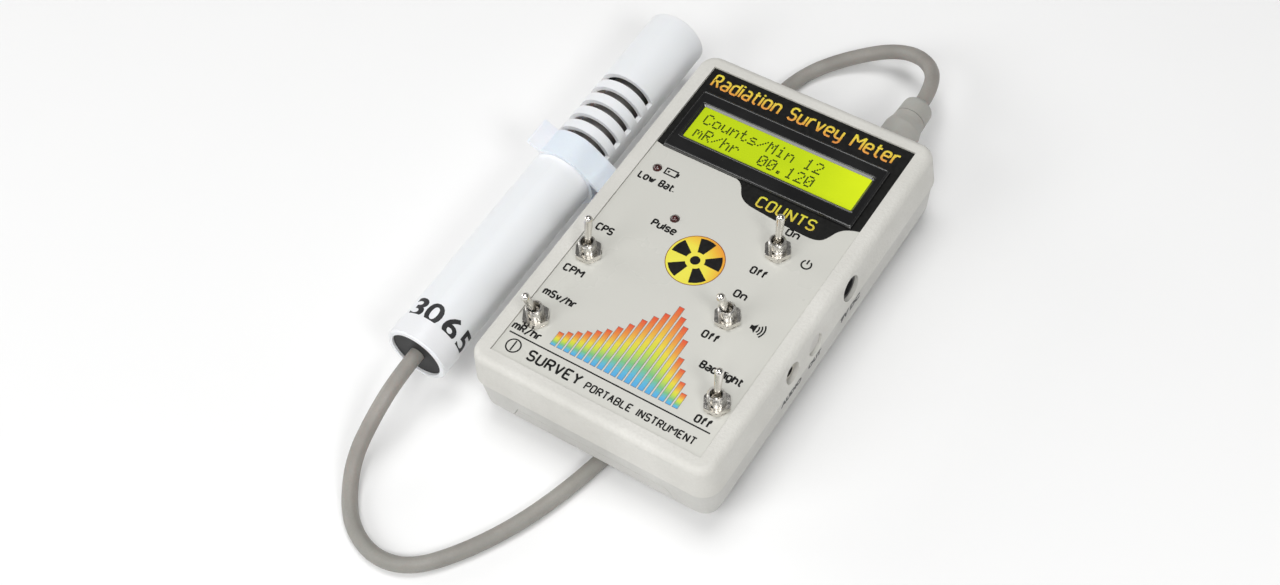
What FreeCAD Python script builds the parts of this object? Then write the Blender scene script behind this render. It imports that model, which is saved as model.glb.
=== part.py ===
import FreeCAD, Part
import math
import os

# Geiger counter: a hand-held case with a clipped-on probe wand and its cord.
# Millimetres. Everything is laid out about the middle of the case, with z = 0 on the
# table, and save() moves it so that the origin is below the middle of the whole object.

# case
footHeight, footRadius = 6.4, 4.0
caseHeight = 28.5                 # underside to top rim
partingHalfX, partingHalfY, partingRadius = 46.0, 73.5, 7.0
upperDraft, lowerDraft = 1.1, 1.5
lowerStep = 0.4                   # lower shell set back under the upper one
partingZ = 21.4
wall = 2.2
topEdgeRadius, bottomEdgeRadius = 2.6, 2.2
bossX, bossY, bossRadius = 38.5, 65.0, 3.4

# front panel
labelHalfX, labelHalfY, labelThick = 39.0, 67.0, 0.3
panelRecess = 0.5
lcdX, lcdY, lcdHalfX, lcdHalfY = 0.0, 42.45, 36.05, 13.25
lcdWindowY, lcdWindowHalfX, lcdWindowHalfY = 42.9, 32.25, 7.1
lcdStandsProud = 1.3
switchPlaces = {"power": (20.2, 10.0), "sound": (19.8, -20.1), "backlight": (33.7, -48.7),
                "count": (-32.9, -20.6), "unit": (-33.2, -50.2)}
leverRest = {"power": 1, "sound": -1, "backlight": 1, "count": 1, "unit": -1}
ledPlaces = {"low_battery": (-32.7, 20.2), "pulse": (-16.1, 5.1)}

# switch sizes
bushRadius, bushBore, bushHeight = 2.85, 2.1, 6.6
bushChamfer, keywayWidth, keywayDepth = 0.35, 0.9, 0.45
leverTilt, leverLength, leverRadius = 12.5, 13.4, 1.45
leverNeckRadius, leverNeckTop, leverTailRadius, leverTailEnd = 1.05, 1.6, 0.8, -5.0
pivotBelowTop = 3.0
nutFlats, nutThick = 8.2, 1.8
washerRadius, washerThick = 4.25, 0.5
switchHalfX, switchHalfY, switchDepth, switchPlate = 3.95, 6.35, 8.6, 0.8
switchPinPitch = 4.7
ledRadius, ledFlangeRadius = 1.5, 1.95

# boards inside the case
boardTop, boardThick = 21.5, 1.6
boardPosts = [(-38.5, 2.0), (38.5, 21.0), (-38.5, -36.0), (38.5, -34.0)]
lcdModuleDepth = 8.0
lcdBoardHalfX, lcdBoardHalfY, lcdHoleX, lcdHoleY = 40.0, 17.8, 37.6, 15.5
lcdPinX, lcdPinY, lcdPinCount = -32.0, 16.3, 16
pinPitch = 2.54

# ports in the right-hand wall, and the probe socket in the rear wall
dcY, dcZ, dcHole = 13.0, 28.3, 4.6
plugPortY, plugPortZ, plugPortHole = -9.8, 25.8, 3.9
audioY, audioZ, audioHole = -23.6, 27.7, 3.9
audioBore = 1.8
jackSetBack, jackNose = 4.0, 2.3   # the jacks' bodies behind the outside of the wall, and their noses
socketX, socketZ, socketRadius, socketDepth = 26.0, 22.4, 7.4, 12.0
pinCircle, pinRadius, pinDepth, pinAngles = 2.4, 0.5, 8.6, (35, 145, 215, 325)
plugShellOuter, plugShellInner, plugShellLength = 4.5, 4.2, 8.0

# connector on the cord, from its face to the end of its boot
gripRadius, gripEnd = 6.65, 82.2
shoulderRadius, shoulderEnd = 5.75, 85.6
bootRadius, plugRear = 5.3, 95.0

# battery and its door
doorTopZ, doorHalfTop, doorHalfMid, doorHalfBottom = 14.0, 28.5, 30.9, 29.7
doorRearY, doorGap = -38.0, 0.15
batteryLow, batteryHigh = (-24.2, -68.2), (21.8, -41.9)
batteryThick, batteryAboveFloor = 17.0, 0.6
smallStudY, bigStudY = -61.4, -48.7

# wand and clip
wandX, wandZ = -66.2, 20.4
wandLow, wandHigh = -75.0, 83.0
wandRadius, wandWall = 11.15, 1.6
slotCount, slotFirstY, slotPitch, slotWidth = 5, 21.6, 6.8, 3.0
slotFloor = 2.5                   # height of the saw cuts' floor over the axis
gmRadius, gmLow, gmHigh = 7.4, 13.0, 60.0
clipLow, clipHigh, clipThick = 9.0, 19.8, 1.35
clipMouth = 127.0                 # degrees from the case's side to each end of the clip
clipTangent = 49.0                # degrees from the case's side to where a leg leaves the ring
lipLength, lipAngle = 5.6, 152.0
clipScrewBelow = 1.6

# cord: the corners of its route, from the wand's end plug to the connector
cordRadius = 2.65
cordRoute = [
    (-66.2, -72.0, 20.4), (-66.2, -85.0, 20.4), (-67.0, -98.0, 15.0), (-66.8, -111.5, 8.0),
    (-61.0, -123.5, 2.65), (-52.5, -131.2, 2.65), (-40.8, -135.0, 2.65), (-29.0, -131.5, 2.65),
    (-18.5, -119.0, 2.65), (-9.0, -102.0, 2.65), (-2.4, -83.0, 2.65), (2.1, -63.5, 2.65),
    (5.2, -43.0, 2.65), (6.2, -22.0, 2.65), (4.0, 0.0, 2.65), (-2.0, 21.0, 2.65),
    (-11.0, 39.0, 2.65), (-20.5, 55.5, 2.65), (-27.0, 72.0, 2.65), (-28.8, 88.5, 2.65),
    (-24.5, 104.5, 2.65), (-14.0, 116.5, 4.5), (1.5, 124.0, 10.0), (16.0, 119.5, 17.0),
    (26.0, 106.5, 22.4), (26.0, 93.0, 22.4)]

caseTop = footHeight + caseHeight
panelTop = caseTop - panelRecess
labelSeat = panelTop - labelThick
ceiling = labelSeat - 1.9
floorTop = footHeight + wall
bayTop = boardTop - boardThick - 0.4
lcdBoardTop = panelTop + lcdStandsProud - lcdModuleDepth
bushTop = panelTop + bushHeight
pivotZ = bushTop - pivotBelowTop
jackFace = partingHalfX - jackSetBack
socketFace = partingHalfY - 0.1
plugFace = socketFace + 0.3
wallX = -partingHalfX - 0.05      # the clip's back face, on the left-hand wall
clipMidY = (clipLow + clipHigh) / 2
clipScrewZ = wandZ - clipScrewBelow
endPlugRadius = wandRadius - wandWall - 0.03
lipReach = clipThick / 2 - (wandRadius + 0.05 + clipThick / 2) * math.cos(math.radians(clipMouth)) \
    - lipLength * math.cos(math.radians(lipAngle))
objectLeft, objectRight = wandX - lipReach, partingHalfX
caseX = -(objectLeft + objectRight) / 2
caseY = -(wandLow + wandHigh) / 2
originShift = FreeCAD.Vector(caseX, caseY, 0)

os.makedirs("parts", exist_ok=True)


def vec(x, y, z):
    return FreeCAD.Vector(x, y, z)


def save(node, shape):
    placed = shape.copy()
    placed.translate(originShift)
    placed.exportStep("parts/" + node + ".step")
    print(node, "solids", len(placed.Solids), "valid", placed.isValid(), "volume", round(placed.Volume, 1))


def block(x0, x1, y0, y1, z0, z1):
    return Part.makeBox(x1 - x0, y1 - y0, z1 - z0, vec(x0, y0, z0))


def rod(radius, start, end):
    line = vec(*end) - vec(*start)
    return Part.makeCylinder(radius, line.Length, vec(*start), line)


def ring(outer, inner, start, end):
    return rod(outer, start, end).cut(rod(inner, start, end))


def group(shapes):
    return Part.makeCompound(shapes)


def prism(points, direction):
    loop = Part.makePolygon([vec(*p) for p in points + points[:1]])
    return Part.Face(loop).extrude(vec(*direction))


def draftedBlock(halfX, halfY, radius, z0, z1, draft):
    # a rounded block whose sides lean in by draft between z0 and z1, or out if it is negative
    coreX, coreY = halfX - radius, halfY - radius
    sides = [(-halfX, z0), (halfX, z0), (halfX - draft, z1), (-halfX + draft, z1)]
    ends = [(-halfY, z0), (halfY, z0), (halfY - draft, z1), (-halfY + draft, z1)]
    body = prism([(x, -coreY, z) for x, z in sides], (0, 2 * coreY, 0))
    body = body.fuse(prism([(-coreX, y, z) for y, z in ends], (2 * coreX, 0, 0)))
    for x, y in corners(coreX, coreY):
        if draft:
            body = body.fuse(Part.makeCone(radius, radius - draft, z1 - z0, vec(x, y, z0)))
        else:
            body = body.fuse(rod(radius, (x, y, z0), (x, y, z1)))
    return body.removeSplitter().Solids[0]


def edgesAt(shape, z):
    return [e for e in shape.Edges if max(abs(e.BoundBox.ZMin - z), abs(e.BoundBox.ZMax - z)) < 1e-4]


def corners(x, y):
    return [(sx * x, sy * y) for sx in (-1, 1) for sy in (-1, 1)]


# case shells

def upperOuter():
    solid = draftedBlock(partingHalfX, partingHalfY, partingRadius, partingZ, caseTop, upperDraft)
    return solid.makeFillet(topEdgeRadius, edgesAt(solid, caseTop))


def lowerOuter():
    inset = lowerStep + lowerDraft
    solid = draftedBlock(partingHalfX - inset, partingHalfY - inset, partingRadius - lowerDraft,
                         footHeight, partingZ, -lowerDraft)
    return solid.makeFillet(bottomEdgeRadius, edgesAt(solid, footHeight))


def upperCavity():
    return draftedBlock(partingHalfX - wall, partingHalfY - wall, partingRadius - wall,
                        partingZ - 1, ceiling, upperDraft)


def lowerCavity():
    inset = lowerStep + lowerDraft + wall
    return draftedBlock(partingHalfX - inset, partingHalfY - inset, partingRadius - lowerDraft - wall,
                        floorTop, partingZ + 1, -lowerDraft)


def portHoles():
    ports = [(dcY, dcZ, dcHole), (plugPortY, plugPortZ, plugPortHole), (audioY, audioZ, audioHole)]
    holes = [rod(r, (partingHalfX - 6, y, z), (partingHalfX + 3, y, z)) for y, z, r in ports]
    return holes + [rod(socketRadius + 0.1, (socketX, partingHalfY - 6, socketZ),
                        (socketX, partingHalfY + 3, socketZ))]


def upperCase():
    shell = upperOuter().cut(upperCavity())
    shell = shell.cut(block(-labelHalfX - 0.2, labelHalfX + 0.2, -labelHalfY - 0.2, labelHalfY + 0.2,
                            labelSeat, caseTop + 1))
    shell = shell.cut(block(lcdX - lcdHalfX - 0.2, lcdX + lcdHalfX + 0.2, lcdY - lcdHalfY - 0.2,
                            lcdY + lcdHalfY + 0.2, ceiling - 1, caseTop + 1))
    for x, y in switchPlaces.values():
        shell = shell.cut(rod(bushRadius + 0.1, (x, y, ceiling - 1), (x, y, caseTop)))
    for x, y in ledPlaces.values():
        shell = shell.cut(rod(ledRadius + 0.1, (x, y, ceiling - 1), (x, y, caseTop)))
    for x, y in corners(bossX, bossY):
        shell = shell.fuse(ring(bossRadius, 1.1, (x, y, partingZ + 0.1), (x, y, ceiling)))
    for x, y in boardPosts:
        shell = shell.fuse(ring(2.5, 0.9, (x, y, boardTop + 0.05), (x, y, ceiling)))
    for hole in portHoles():
        shell = shell.cut(hole)
    return shell.removeSplitter()


def doorPrism(gap):
    points = [(-doorHalfTop + gap, doorTopZ - gap), (doorHalfTop - gap, doorTopZ - gap),
              (doorHalfMid - gap, floorTop), (doorHalfBottom - gap, footHeight - 1),
              (-doorHalfBottom + gap, footHeight - 1), (-doorHalfMid + gap, floorTop)]
    rear = doorRearY - gap
    return prism([(x, rear, z) for x, z in points], (0, -50, 0))


def lowerShell():
    return lowerOuter().cut(lowerCavity())


def lowerCase():
    shell = lowerShell().cut(doorPrism(0))
    lipRadius = partingRadius - wall
    lipSizes = [(0.65, partingZ - 2, partingZ + 1.5), (0.2, partingZ - 2, partingZ),
                (1.5, partingZ - 3, partingZ + 3)]
    lipOuter, lipRoot, lipInner = [
        draftedBlock(partingHalfX - wall - inset, partingHalfY - wall - inset, lipRadius, low, high, 0)
        for inset, low, high in lipSizes]
    shell = shell.fuse(lipOuter.fuse(lipRoot).cut(lipInner))
    for x, y in corners(bossX, bossY):
        shell = shell.cut(rod(bossRadius + 0.3, (x, y, partingZ), (x, y, partingZ + 3)))
        shell = shell.fuse(rod(bossRadius, (x, y, floorTop - 0.5), (x, y, partingZ)))
        shell = shell.cut(rod(1.6, (x, y, footHeight - 1), (x, y, partingZ + 1)))
        shell = shell.cut(rod(3.0, (x, y, footHeight - 1), (x, y, footHeight + 2.6)))
    bayRear = block(-29, 29, -37.6, -36.2, floorTop - 0.3, bayTop)
    baySides = [block(x, x + 1.4, -69, -37, floorTop + 0.3, bayTop) for x in (-27.2, 25.8)]
    for rib in [bayRear] + baySides:
        shell = shell.fuse(rib)
    for hole in portHoles():
        shell = shell.cut(hole)
    shell = shell.cut(rod(1.25, (wallX - 1, clipMidY, clipScrewZ), (wallX + 5, clipMidY, clipScrewZ)))
    return shell.removeSplitter()


def batteryDoor():
    door = lowerShell().common(doorPrism(doorGap))
    latch = block(-5, 5, -42.4, doorRearY - 0.5, floorTop - 0.2, floorTop + 0.4)
    grips = [rod(0.45, (-8, -60 + 2.4 * i, footHeight), (8, -60 + 2.4 * i, footHeight)) for i in range(6)]
    return door.fuse(latch).cut(group(grips)).removeSplitter()


def rubberFeet():
    feet = []
    for x, y in corners(36.5, 55.0):
        foot = Part.makeCone(footRadius - 0.7, footRadius, footHeight, vec(x, y, 0))
        feet.append(foot.makeFillet(0.6, edgesAt(foot, 0)))
    return group(feet)


def screw(head, headLength, shank, tip, axisStart):
    x, y, z = axisStart
    return rod(head, (x, y, z), (x, y, z + headLength)).fuse(rod(shank, (x, y, z + headLength), (x, y, tip)))


def crossSlot(x, y, z, depth):
    arms = [block(x - 1.3, x + 1.3, y - 0.25, y + 0.25, z - 0.1, z + depth),
            block(x - 0.25, x + 0.25, y - 1.3, y + 1.3, z - 0.1, z + depth)]
    return arms[0].fuse(arms[1])


def caseScrews():
    z = footHeight + 0.8
    return group([screw(2.6, 1.8, 1.05, partingZ + 6, (x, y, z)).cut(crossSlot(x, y, z, 1.0))
                  for x, y in corners(bossX, bossY)])


# front panel

def panelLabel():
    plate = block(-labelHalfX, labelHalfX, -labelHalfY, labelHalfY, labelSeat, panelTop)
    plate = plate.cut(block(lcdX - lcdHalfX - 0.1, lcdX + lcdHalfX + 0.1, lcdY - lcdHalfY - 0.1,
                            lcdY + lcdHalfY + 0.1, labelSeat - 1, panelTop + 1))
    for x, y in switchPlaces.values():
        plate = plate.cut(rod(bushRadius + 0.1, (x, y, labelSeat - 1), (x, y, panelTop + 1)))
    for x, y in ledPlaces.values():
        plate = plate.cut(rod(ledRadius + 0.2, (x, y, labelSeat - 1), (x, y, panelTop + 1)))
    return plate


def lcdInside(shrink, z0, z1):
    return block(lcdX - lcdHalfX + shrink, lcdX + lcdHalfX - shrink, lcdY - lcdHalfY + shrink,
                 lcdY + lcdHalfY - shrink, z0, z1)


def lcdFrame():
    top = panelTop + lcdStandsProud
    frame = lcdInside(0, lcdBoardTop, top)
    frame = frame.makeFillet(0.8, edgesAt(frame, top))
    window = draftedBlock(lcdWindowHalfX, lcdWindowHalfY, 0.4, top - 0.7, top + 0.1, -0.9)
    window.translate(vec(0, lcdWindowY, 0))
    return frame.cut(lcdInside(0.5, lcdBoardTop - 1, top - 0.6)).cut(window)


def lcdHoles():
    return [(x, y + lcdY) for x, y in corners(lcdHoleX, lcdHoleY)]


def lcdPinPlaces():
    return [(lcdPinX + pinPitch * i, lcdY + lcdPinY) for i in range(lcdPinCount)]


def lcdBoard():
    board = block(-lcdBoardHalfX, lcdBoardHalfX, lcdY - lcdBoardHalfY, lcdY + lcdBoardHalfY,
                  lcdBoardTop - boardThick, lcdBoardTop)
    for x, y in lcdHoles():
        board = board.cut(rod(1.3, (x, y, 0), (x, y, 50)))
    for x, y in lcdPinPlaces():
        board = board.cut(rod(0.45, (x, y, 0), (x, y, 50)))
    return board


def lcdPins():
    return group([rod(0.35, (x, y, boardTop), (x, y, lcdBoardTop + 1)) for x, y in lcdPinPlaces()])


def lcdStandoffs():
    return group([ring(2.4, 1.25, (x, y, lcdBoardTop), (x, y, ceiling)) for x, y in lcdHoles()])


def lcdScrews():
    z = lcdBoardTop - boardThick - 1.4
    return group([screw(2.2, 1.4, 1.2, ceiling - 0.3, (x, y, z)) for x, y in lcdHoles()])


# switches

def switchBushing(x, y):
    bushing = rod(bushRadius, (x, y, ceiling - switchPlate), (x, y, bushTop))
    bushing = bushing.makeChamfer(bushChamfer, edgesAt(bushing, bushTop))
    bushing = bushing.fuse(block(x - switchHalfX + 0.05, x + switchHalfX - 0.05, y - switchHalfY + 0.05,
                                 y + switchHalfY - 0.05, ceiling - switchPlate, ceiling - 0.02))
    bushing = bushing.cut(rod(bushBore, (x, y, ceiling - 5), (x, y, bushTop + 1)))
    return bushing.cut(block(x - keywayWidth / 2, x + keywayWidth / 2, y - bushRadius - 1,
                             y - bushRadius + keywayDepth, panelTop, bushTop + 1))


def switchBody(x, y):
    top = ceiling - switchPlate
    return block(x - switchHalfX, x + switchHalfX, y - switchHalfY, y + switchHalfY, top - switchDepth, top)


def switchPins(x, y):
    top = ceiling - switchPlate - switchDepth
    return [block(x - 0.6, x + 0.6, y + dy - 0.4, y + dy + 0.4, boardTop - 2.6, top)
            for dy in (-switchPinPitch, 0, switchPinPitch)]


def lever(x, y, direction):
    tipFlat = leverLength - leverRadius
    shaft = Part.makeCone(leverNeckRadius, leverRadius, tipFlat - leverNeckTop, vec(0, 0, leverNeckTop))
    solid = shaft.fuse(Part.makeSphere(leverRadius, vec(0, 0, tipFlat)))
    solid = solid.fuse(rod(leverNeckRadius, (0, 0, 0), (0, 0, leverNeckTop + 0.01)))
    solid = solid.fuse(Part.makeSphere(bushBore - 0.05))
    solid = solid.fuse(rod(leverTailRadius, (0, 0, leverTailEnd), (0, 0, 0)))
    solid.rotate(vec(0, 0, 0), vec(1, 0, 0), -leverTilt * direction)
    solid.translate(vec(x, y, pivotZ))
    return solid


def hexNut(x, y, z):
    reach = nutFlats / math.sqrt(3)
    points = [(x + reach * math.cos(math.radians(60 * i)), y + reach * math.sin(math.radians(60 * i)), z)
              for i in range(6)]
    nut = prism(points, (0, 0, nutThick))
    dome = Part.makeCone(reach + nutThick - 0.25, reach - 0.25, nutThick, vec(x, y, z))
    return nut.common(dome).cut(rod(bushRadius + 0.02, (x, y, z - 1), (x, y, z + nutThick + 1)))


def led(x, y):
    foot, shoulder = ceiling - 3.2, panelTop - 0.5
    lens = rod(ledRadius, (x, y, foot), (x, y, shoulder))
    lens = lens.fuse(Part.makeSphere(ledRadius, vec(x, y, shoulder)))
    return lens.fuse(rod(ledFlangeRadius, (x, y, foot), (x, y, foot + 1.0)))


# boards and the parts on them

def mainBoard():
    outline = [(-41, -58), (-28.4, -58), (-28.4, -35), (28.4, -35), (28.4, -58), (41, -58),
               (41, 58), (-41, 58)]
    board = prism([(x, y, boardTop - boardThick) for x, y in outline], (0, 0, boardThick))
    for x, y in switchPlaces.values():
        for dy in (-switchPinPitch, 0, switchPinPitch):
            board = board.cut(rod(0.85, (x, y + dy, 0), (x, y + dy, 50)))
    for x, y in boardPosts:
        board = board.cut(rod(1.2, (x, y, 0), (x, y, 50)))
    return board


def boardScrews():
    z = boardTop - boardThick - 1.3
    return group([screw(2.0, 1.3, 0.9, boardTop + 5, (x, y, z)) for x, y in boardPosts])


def microcontroller():
    chip = block(-22, 13, -18, -9.5, boardTop + 1, boardTop + 4.4)
    legs = [block(x, x + 0.6, y, y + 0.35, boardTop, boardTop + 2.6)
            for x in [-21 + pinPitch * i for i in range(14)] for y in (-18.35, -9.5)]
    return chip, group(legs)


def buzzer():
    can = ring(6.0, 1.0, (6, 16, boardTop), (6, 16, boardTop + 7.5))
    return can.fuse(rod(6.0, (6, 16, boardTop), (6, 16, boardTop + 5.5)))


def transformer():
    core = block(-30, -18.5, 5.5, 17, boardTop, boardTop + 9)
    window = block(-31, -17.5, 8, 14.5, boardTop + 2.2, boardTop + 6.8)
    return core.cut(window).fuse(block(-28, -20.5, 6, 16.5, boardTop + 2.2, boardTop + 6.8))


def capacitors():
    return group([rod(3.2, (x, -27, boardTop), (x, -27, boardTop + 8.5)) for x in (-12, -4, 4)])


def dcJack():
    body = block(jackFace - 13.5, jackFace, dcY - 4.5, dcY + 4.5, boardTop, ceiling - 0.2)
    body = body.fuse(rod(dcHole - 0.25, (jackFace, dcY, dcZ), (jackFace + jackNose, dcY, dcZ)))
    return body.cut(rod(3.1, (jackFace - 9.5, dcY, dcZ), (jackFace + jackNose + 1, dcY, dcZ)))


def dcPin():
    return rod(1.0, (jackFace - 9.5, dcY, dcZ), (jackFace - 1.2, dcY, dcZ))


def audioJackBody():
    body = block(jackFace - 11.5, jackFace, audioY - 4.0, audioY + 4.0, boardTop, ceiling - 0.4)
    return body.cut(rod(audioBore, (jackFace - 12.5, audioY, audioZ), (jackFace + 1, audioY, audioZ)))


def audioJackNose():
    return ring(3.3, audioBore, (jackFace, audioY, audioZ), (jackFace + jackNose, audioY, audioZ))


def portPlug():
    face, flangeFace = partingHalfX - 1.15, partingHalfX - 3.75
    body = rod(plugPortHole - 0.15, (flangeFace, plugPortY, plugPortZ), (face, plugPortY, plugPortZ))
    return body.fuse(rod(plugPortHole + 0.6, (flangeFace - 1.0, plugPortY, plugPortZ),
                         (flangeFace, plugPortY, plugPortZ)))


def pinAxes():
    return [(socketX + pinCircle * math.cos(math.radians(a)), socketZ + pinCircle * math.sin(math.radians(a)))
            for a in pinAngles]


def dinSocket():
    body = rod(socketRadius, (socketX, socketFace - socketDepth, socketZ), (socketX, socketFace, socketZ))
    body = body.cut(ring(plugShellOuter + 0.1, plugShellInner - 0.1,
                         (socketX, socketFace - pinDepth, socketZ), (socketX, socketFace + 1, socketZ)))
    for x, z in pinAxes():
        body = body.cut(rod(pinRadius + 0.08, (x, socketFace - pinDepth, z), (x, socketFace + 1, z)))
    return body


# connector on the cord

def plugBody():
    grip = rod(gripRadius, (socketX, plugFace, socketZ), (socketX, gripEnd, socketZ))
    grip = grip.fuse(Part.makeCone(gripRadius, shoulderRadius, shoulderEnd - gripEnd,
                                   vec(socketX, gripEnd, socketZ), vec(0, 1, 0)))
    boot = Part.makeCone(shoulderRadius, bootRadius, plugRear - shoulderEnd,
                         vec(socketX, shoulderEnd, socketZ), vec(0, 1, 0))
    boot = boot.makeFillet(1.9, [e for e in boot.Edges if e.BoundBox.YMin > plugRear - 0.01])
    seam = ring(gripRadius, bootRadius + 0.05, (socketX, shoulderEnd + 2.1, socketZ),
                (socketX, shoulderEnd + 2.4, socketZ))
    cordHole = rod(cordRadius + 0.08, (socketX, plugRear - 2.1, socketZ), (socketX, plugRear + 1, socketZ))
    return grip.fuse(boot).cut(seam).cut(cordHole).removeSplitter()


def plugShell():
    return ring(plugShellOuter, plugShellInner, (socketX, plugFace - plugShellLength, socketZ),
                (socketX, plugFace, socketZ))


def plugPins():
    return group([rod(pinRadius, (x, plugFace - plugShellLength, z), (x, plugFace, z)) for x, z in pinAxes()])


# battery

def battery():
    (x0, y0), (x1, y1) = batteryLow, batteryHigh
    low = floorTop + batteryAboveFloor
    case = block(x0, x1, y0, y1, low, low + batteryThick)
    case = case.makeFillet(1.5, [e for e in case.Edges if e.BoundBox.XLength > 40])
    midZ = low + batteryThick / 2
    for radius, y in ((2.8, smallStudY), (3.8, bigStudY)):
        case = case.fuse(rod(radius, (x1 - 0.1, y, midZ), (x1 + 1.8, y, midZ)))
    return case


def batterySnap():
    face = batteryHigh[0] + 1.9
    midZ = floorTop + batteryAboveFloor + batteryThick / 2
    return block(face, face + 1.3, batteryLow[1] + 1.2, batteryHigh[1] - 1.1, midZ - 6, midZ + 6)


def batteryLead(x, y):
    snapX, top = batteryHigh[0] + 2.55, floorTop + 19.0
    return tube([(snapX, y, top - 3.9), (snapX, y, top), (x, y + 7, top + 3), (x, -37.5, top + 3.2),
                 (x, -31.0, top + 1.5), (x, -31.0, boardTop)], 0.6)


# cord

def tube(route, radius, report=""):
    # straight runs joined by arcs as large as both runs allow
    points = [vec(*p) for p in route]
    edges, start, length, radii = [], points[0], 0.0, []
    for before, corner, after in zip(points, points[1:], points[2:]):
        inward, outward = (before - corner), (after - corner)
        reach = 0.45 * min(inward.Length, outward.Length)
        inward.normalize()
        outward.normalize()
        turn = math.pi - inward.getAngle(outward)
        radii.append(reach / math.tan(turn / 2))
        bisector = inward + outward
        bisector.normalize()
        depth = radii[-1] * (1 / math.cos(turn / 2) - 1)
        first, last = corner + inward * reach, corner + outward * reach
        edges.append(Part.LineSegment(start, first).toShape())
        edges.append(Part.Arc(first, corner + bisector * depth, last).toShape())
        start = last
    edges.append(Part.LineSegment(start, points[-1]).toShape())
    path = Part.Wire(edges)
    section = Part.Wire([Part.makeCircle(radius, points[0], points[1] - points[0])])
    pipe = path.makePipeShell([section], True, True)
    if report:
        print(report, "length", round(path.Length, 1), "radii", [round(r, 1) for r in radii])
        print(report, "volume", round(pipe.Volume, 1), "section x length",
              round(math.pi * radius ** 2 * path.Length, 1))
    return pipe


# wand

def wandTube():
    tubeWall = ring(wandRadius, wandRadius - wandWall, (wandX, wandLow, wandZ), (wandX, wandHigh, wandZ))
    rims = [e for e in tubeWall.Edges if e.BoundBox.YLength < 0.01]
    tubeWall = tubeWall.makeFillet(0.5, [e for e in rims if e.BoundBox.XLength > 2 * wandRadius - 0.1])
    for i in range(slotCount):
        y = slotFirstY + slotPitch * i
        tubeWall = tubeWall.cut(block(wandX - 15, wandX + 15, y - slotWidth / 2, y + slotWidth / 2,
                                      wandZ + slotFloor, wandZ + 15))
    return tubeWall


def wandCollar():
    return ring(wandRadius + 0.3, wandRadius + 0.01, (wandX, wandLow + 0.6, wandZ),
                (wandX, wandLow + 8.2, wandZ))


def wandEndPlug():
    plug = rod(endPlugRadius, (wandX, wandLow + 0.8, wandZ), (wandX, wandLow + 11, wandZ))
    return plug.cut(rod(cordRadius + 0.08, (wandX, wandLow, wandZ), (wandX, wandLow + 3.1, wandZ)))


def wandNoseCap():
    return rod(endPlugRadius, (wandX, wandHigh - 3.4, wandZ), (wandX, wandHigh - 0.5, wandZ))


def gmTube():
    body = rod(gmRadius, (wandX, gmLow, wandZ), (wandX, gmHigh, wandZ))
    body = body.makeFillet(1.0, [e for e in body.Edges if e.BoundBox.YLength < 0.01])
    return body.fuse(rod(1.2, (wandX, gmLow - 7, wandZ), (wandX, gmLow + 0.1, wandZ)))


def gmRings():
    return group([ring(endPlugRadius, gmRadius + 0.01, (wandX, y, wandZ), (wandX, y + 5, wandZ))
                  for y in (gmLow + 1, gmHigh - 7)])


def wandBoard():
    board = block(wandX - 7, wandX + 7, -48, 2, wandZ - 3.6, wandZ - 2.0)
    resistor = rod(1.6, (wandX, -14, wandZ - 0.5), (wandX, -4, wandZ - 0.5))
    return board.fuse(resistor)


def clipMouthCut(length):
    # a wedge that opens the ring on the side away from the case
    mouth, far = math.radians(clipMouth), 40.0
    points = [(0, 0), (far * math.cos(mouth), far * math.sin(mouth)), (-2 * far, 0),
              (far * math.cos(mouth), -far * math.sin(mouth))]
    return prism([(wandX + x, clipLow - 1, wandZ + z) for x, z in points], (0, length + 2, 0))


def clipLeg(side, outer, length):
    # one sloping leg from the ring down to the case's side
    tangent = math.radians(clipTangent)
    touch = (wandX + outer * math.cos(tangent), wandZ + side * outer * math.sin(tangent))
    run = (wallX - touch[0]) / math.sin(tangent)
    low = touch[1] - side * run * math.cos(tangent)
    skin = (clipThick * math.cos(tangent), side * clipThick * math.sin(tangent))
    points = [touch, (wallX, low), (wallX, low - side * 2.2), (touch[0] - skin[0], touch[1] - skin[1])]
    return prism([(x, clipLow, z) for x, z in points], (0, length, 0))


def clipLip(side, mid, length):
    # the turned-out lip at one end of the ring, with rounded ends
    mouth, lip, half = math.radians(clipMouth), math.radians(lipAngle), clipThick / 2
    start = (wandX + mid * math.cos(mouth), wandZ + side * mid * math.sin(mouth))
    tip = (start[0] + lipLength * math.cos(lip), start[1] + side * lipLength * math.sin(lip))
    across = (-math.sin(lip) * half, side * math.cos(lip) * half)
    points = [(x + way * across[0], z + way * across[1])
              for (x, z), way in ((start, 1), (tip, 1), (tip, -1), (start, -1))]
    plate = prism([(x, clipLow, z) for x, z in points], (0, length, 0))
    for x, z in (start, tip):
        plate = plate.fuse(rod(half, (x, clipLow, z), (x, clipHigh, z)))
    return plate


def wandClip():
    inner, outer = wandRadius + 0.05, wandRadius + 0.05 + clipThick
    length = clipHigh - clipLow
    band = ring(outer, inner, (wandX, clipLow, wandZ), (wandX, clipHigh, wandZ)).cut(clipMouthCut(length))
    for side in (1, -1):
        band = band.fuse(clipLeg(side, outer, length)).fuse(clipLip(side, (inner + outer) / 2, length))
    band = band.fuse(block(wallX - 2.0, wallX, clipLow, clipHigh, wandZ - 4.0, wandZ + 4.0))
    band = band.cut(rod(inner, (wandX, clipLow - 1, wandZ), (wandX, clipHigh + 1, wandZ)))
    screwHole = rod(1.35, (wallX - 12, clipMidY, clipScrewZ), (wallX + 1, clipMidY, clipScrewZ))
    return band.cut(screwHole).removeSplitter()


def clipScrew():
    head = rod(1.3, (wallX - 2.0, clipMidY, clipScrewZ), (wallX + 0.1, clipMidY, clipScrewZ))
    return head.fuse(rod(1.2, (wallX, clipMidY, clipScrewZ), (wallX + 4.4, clipMidY, clipScrewZ)))


# write every node

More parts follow.
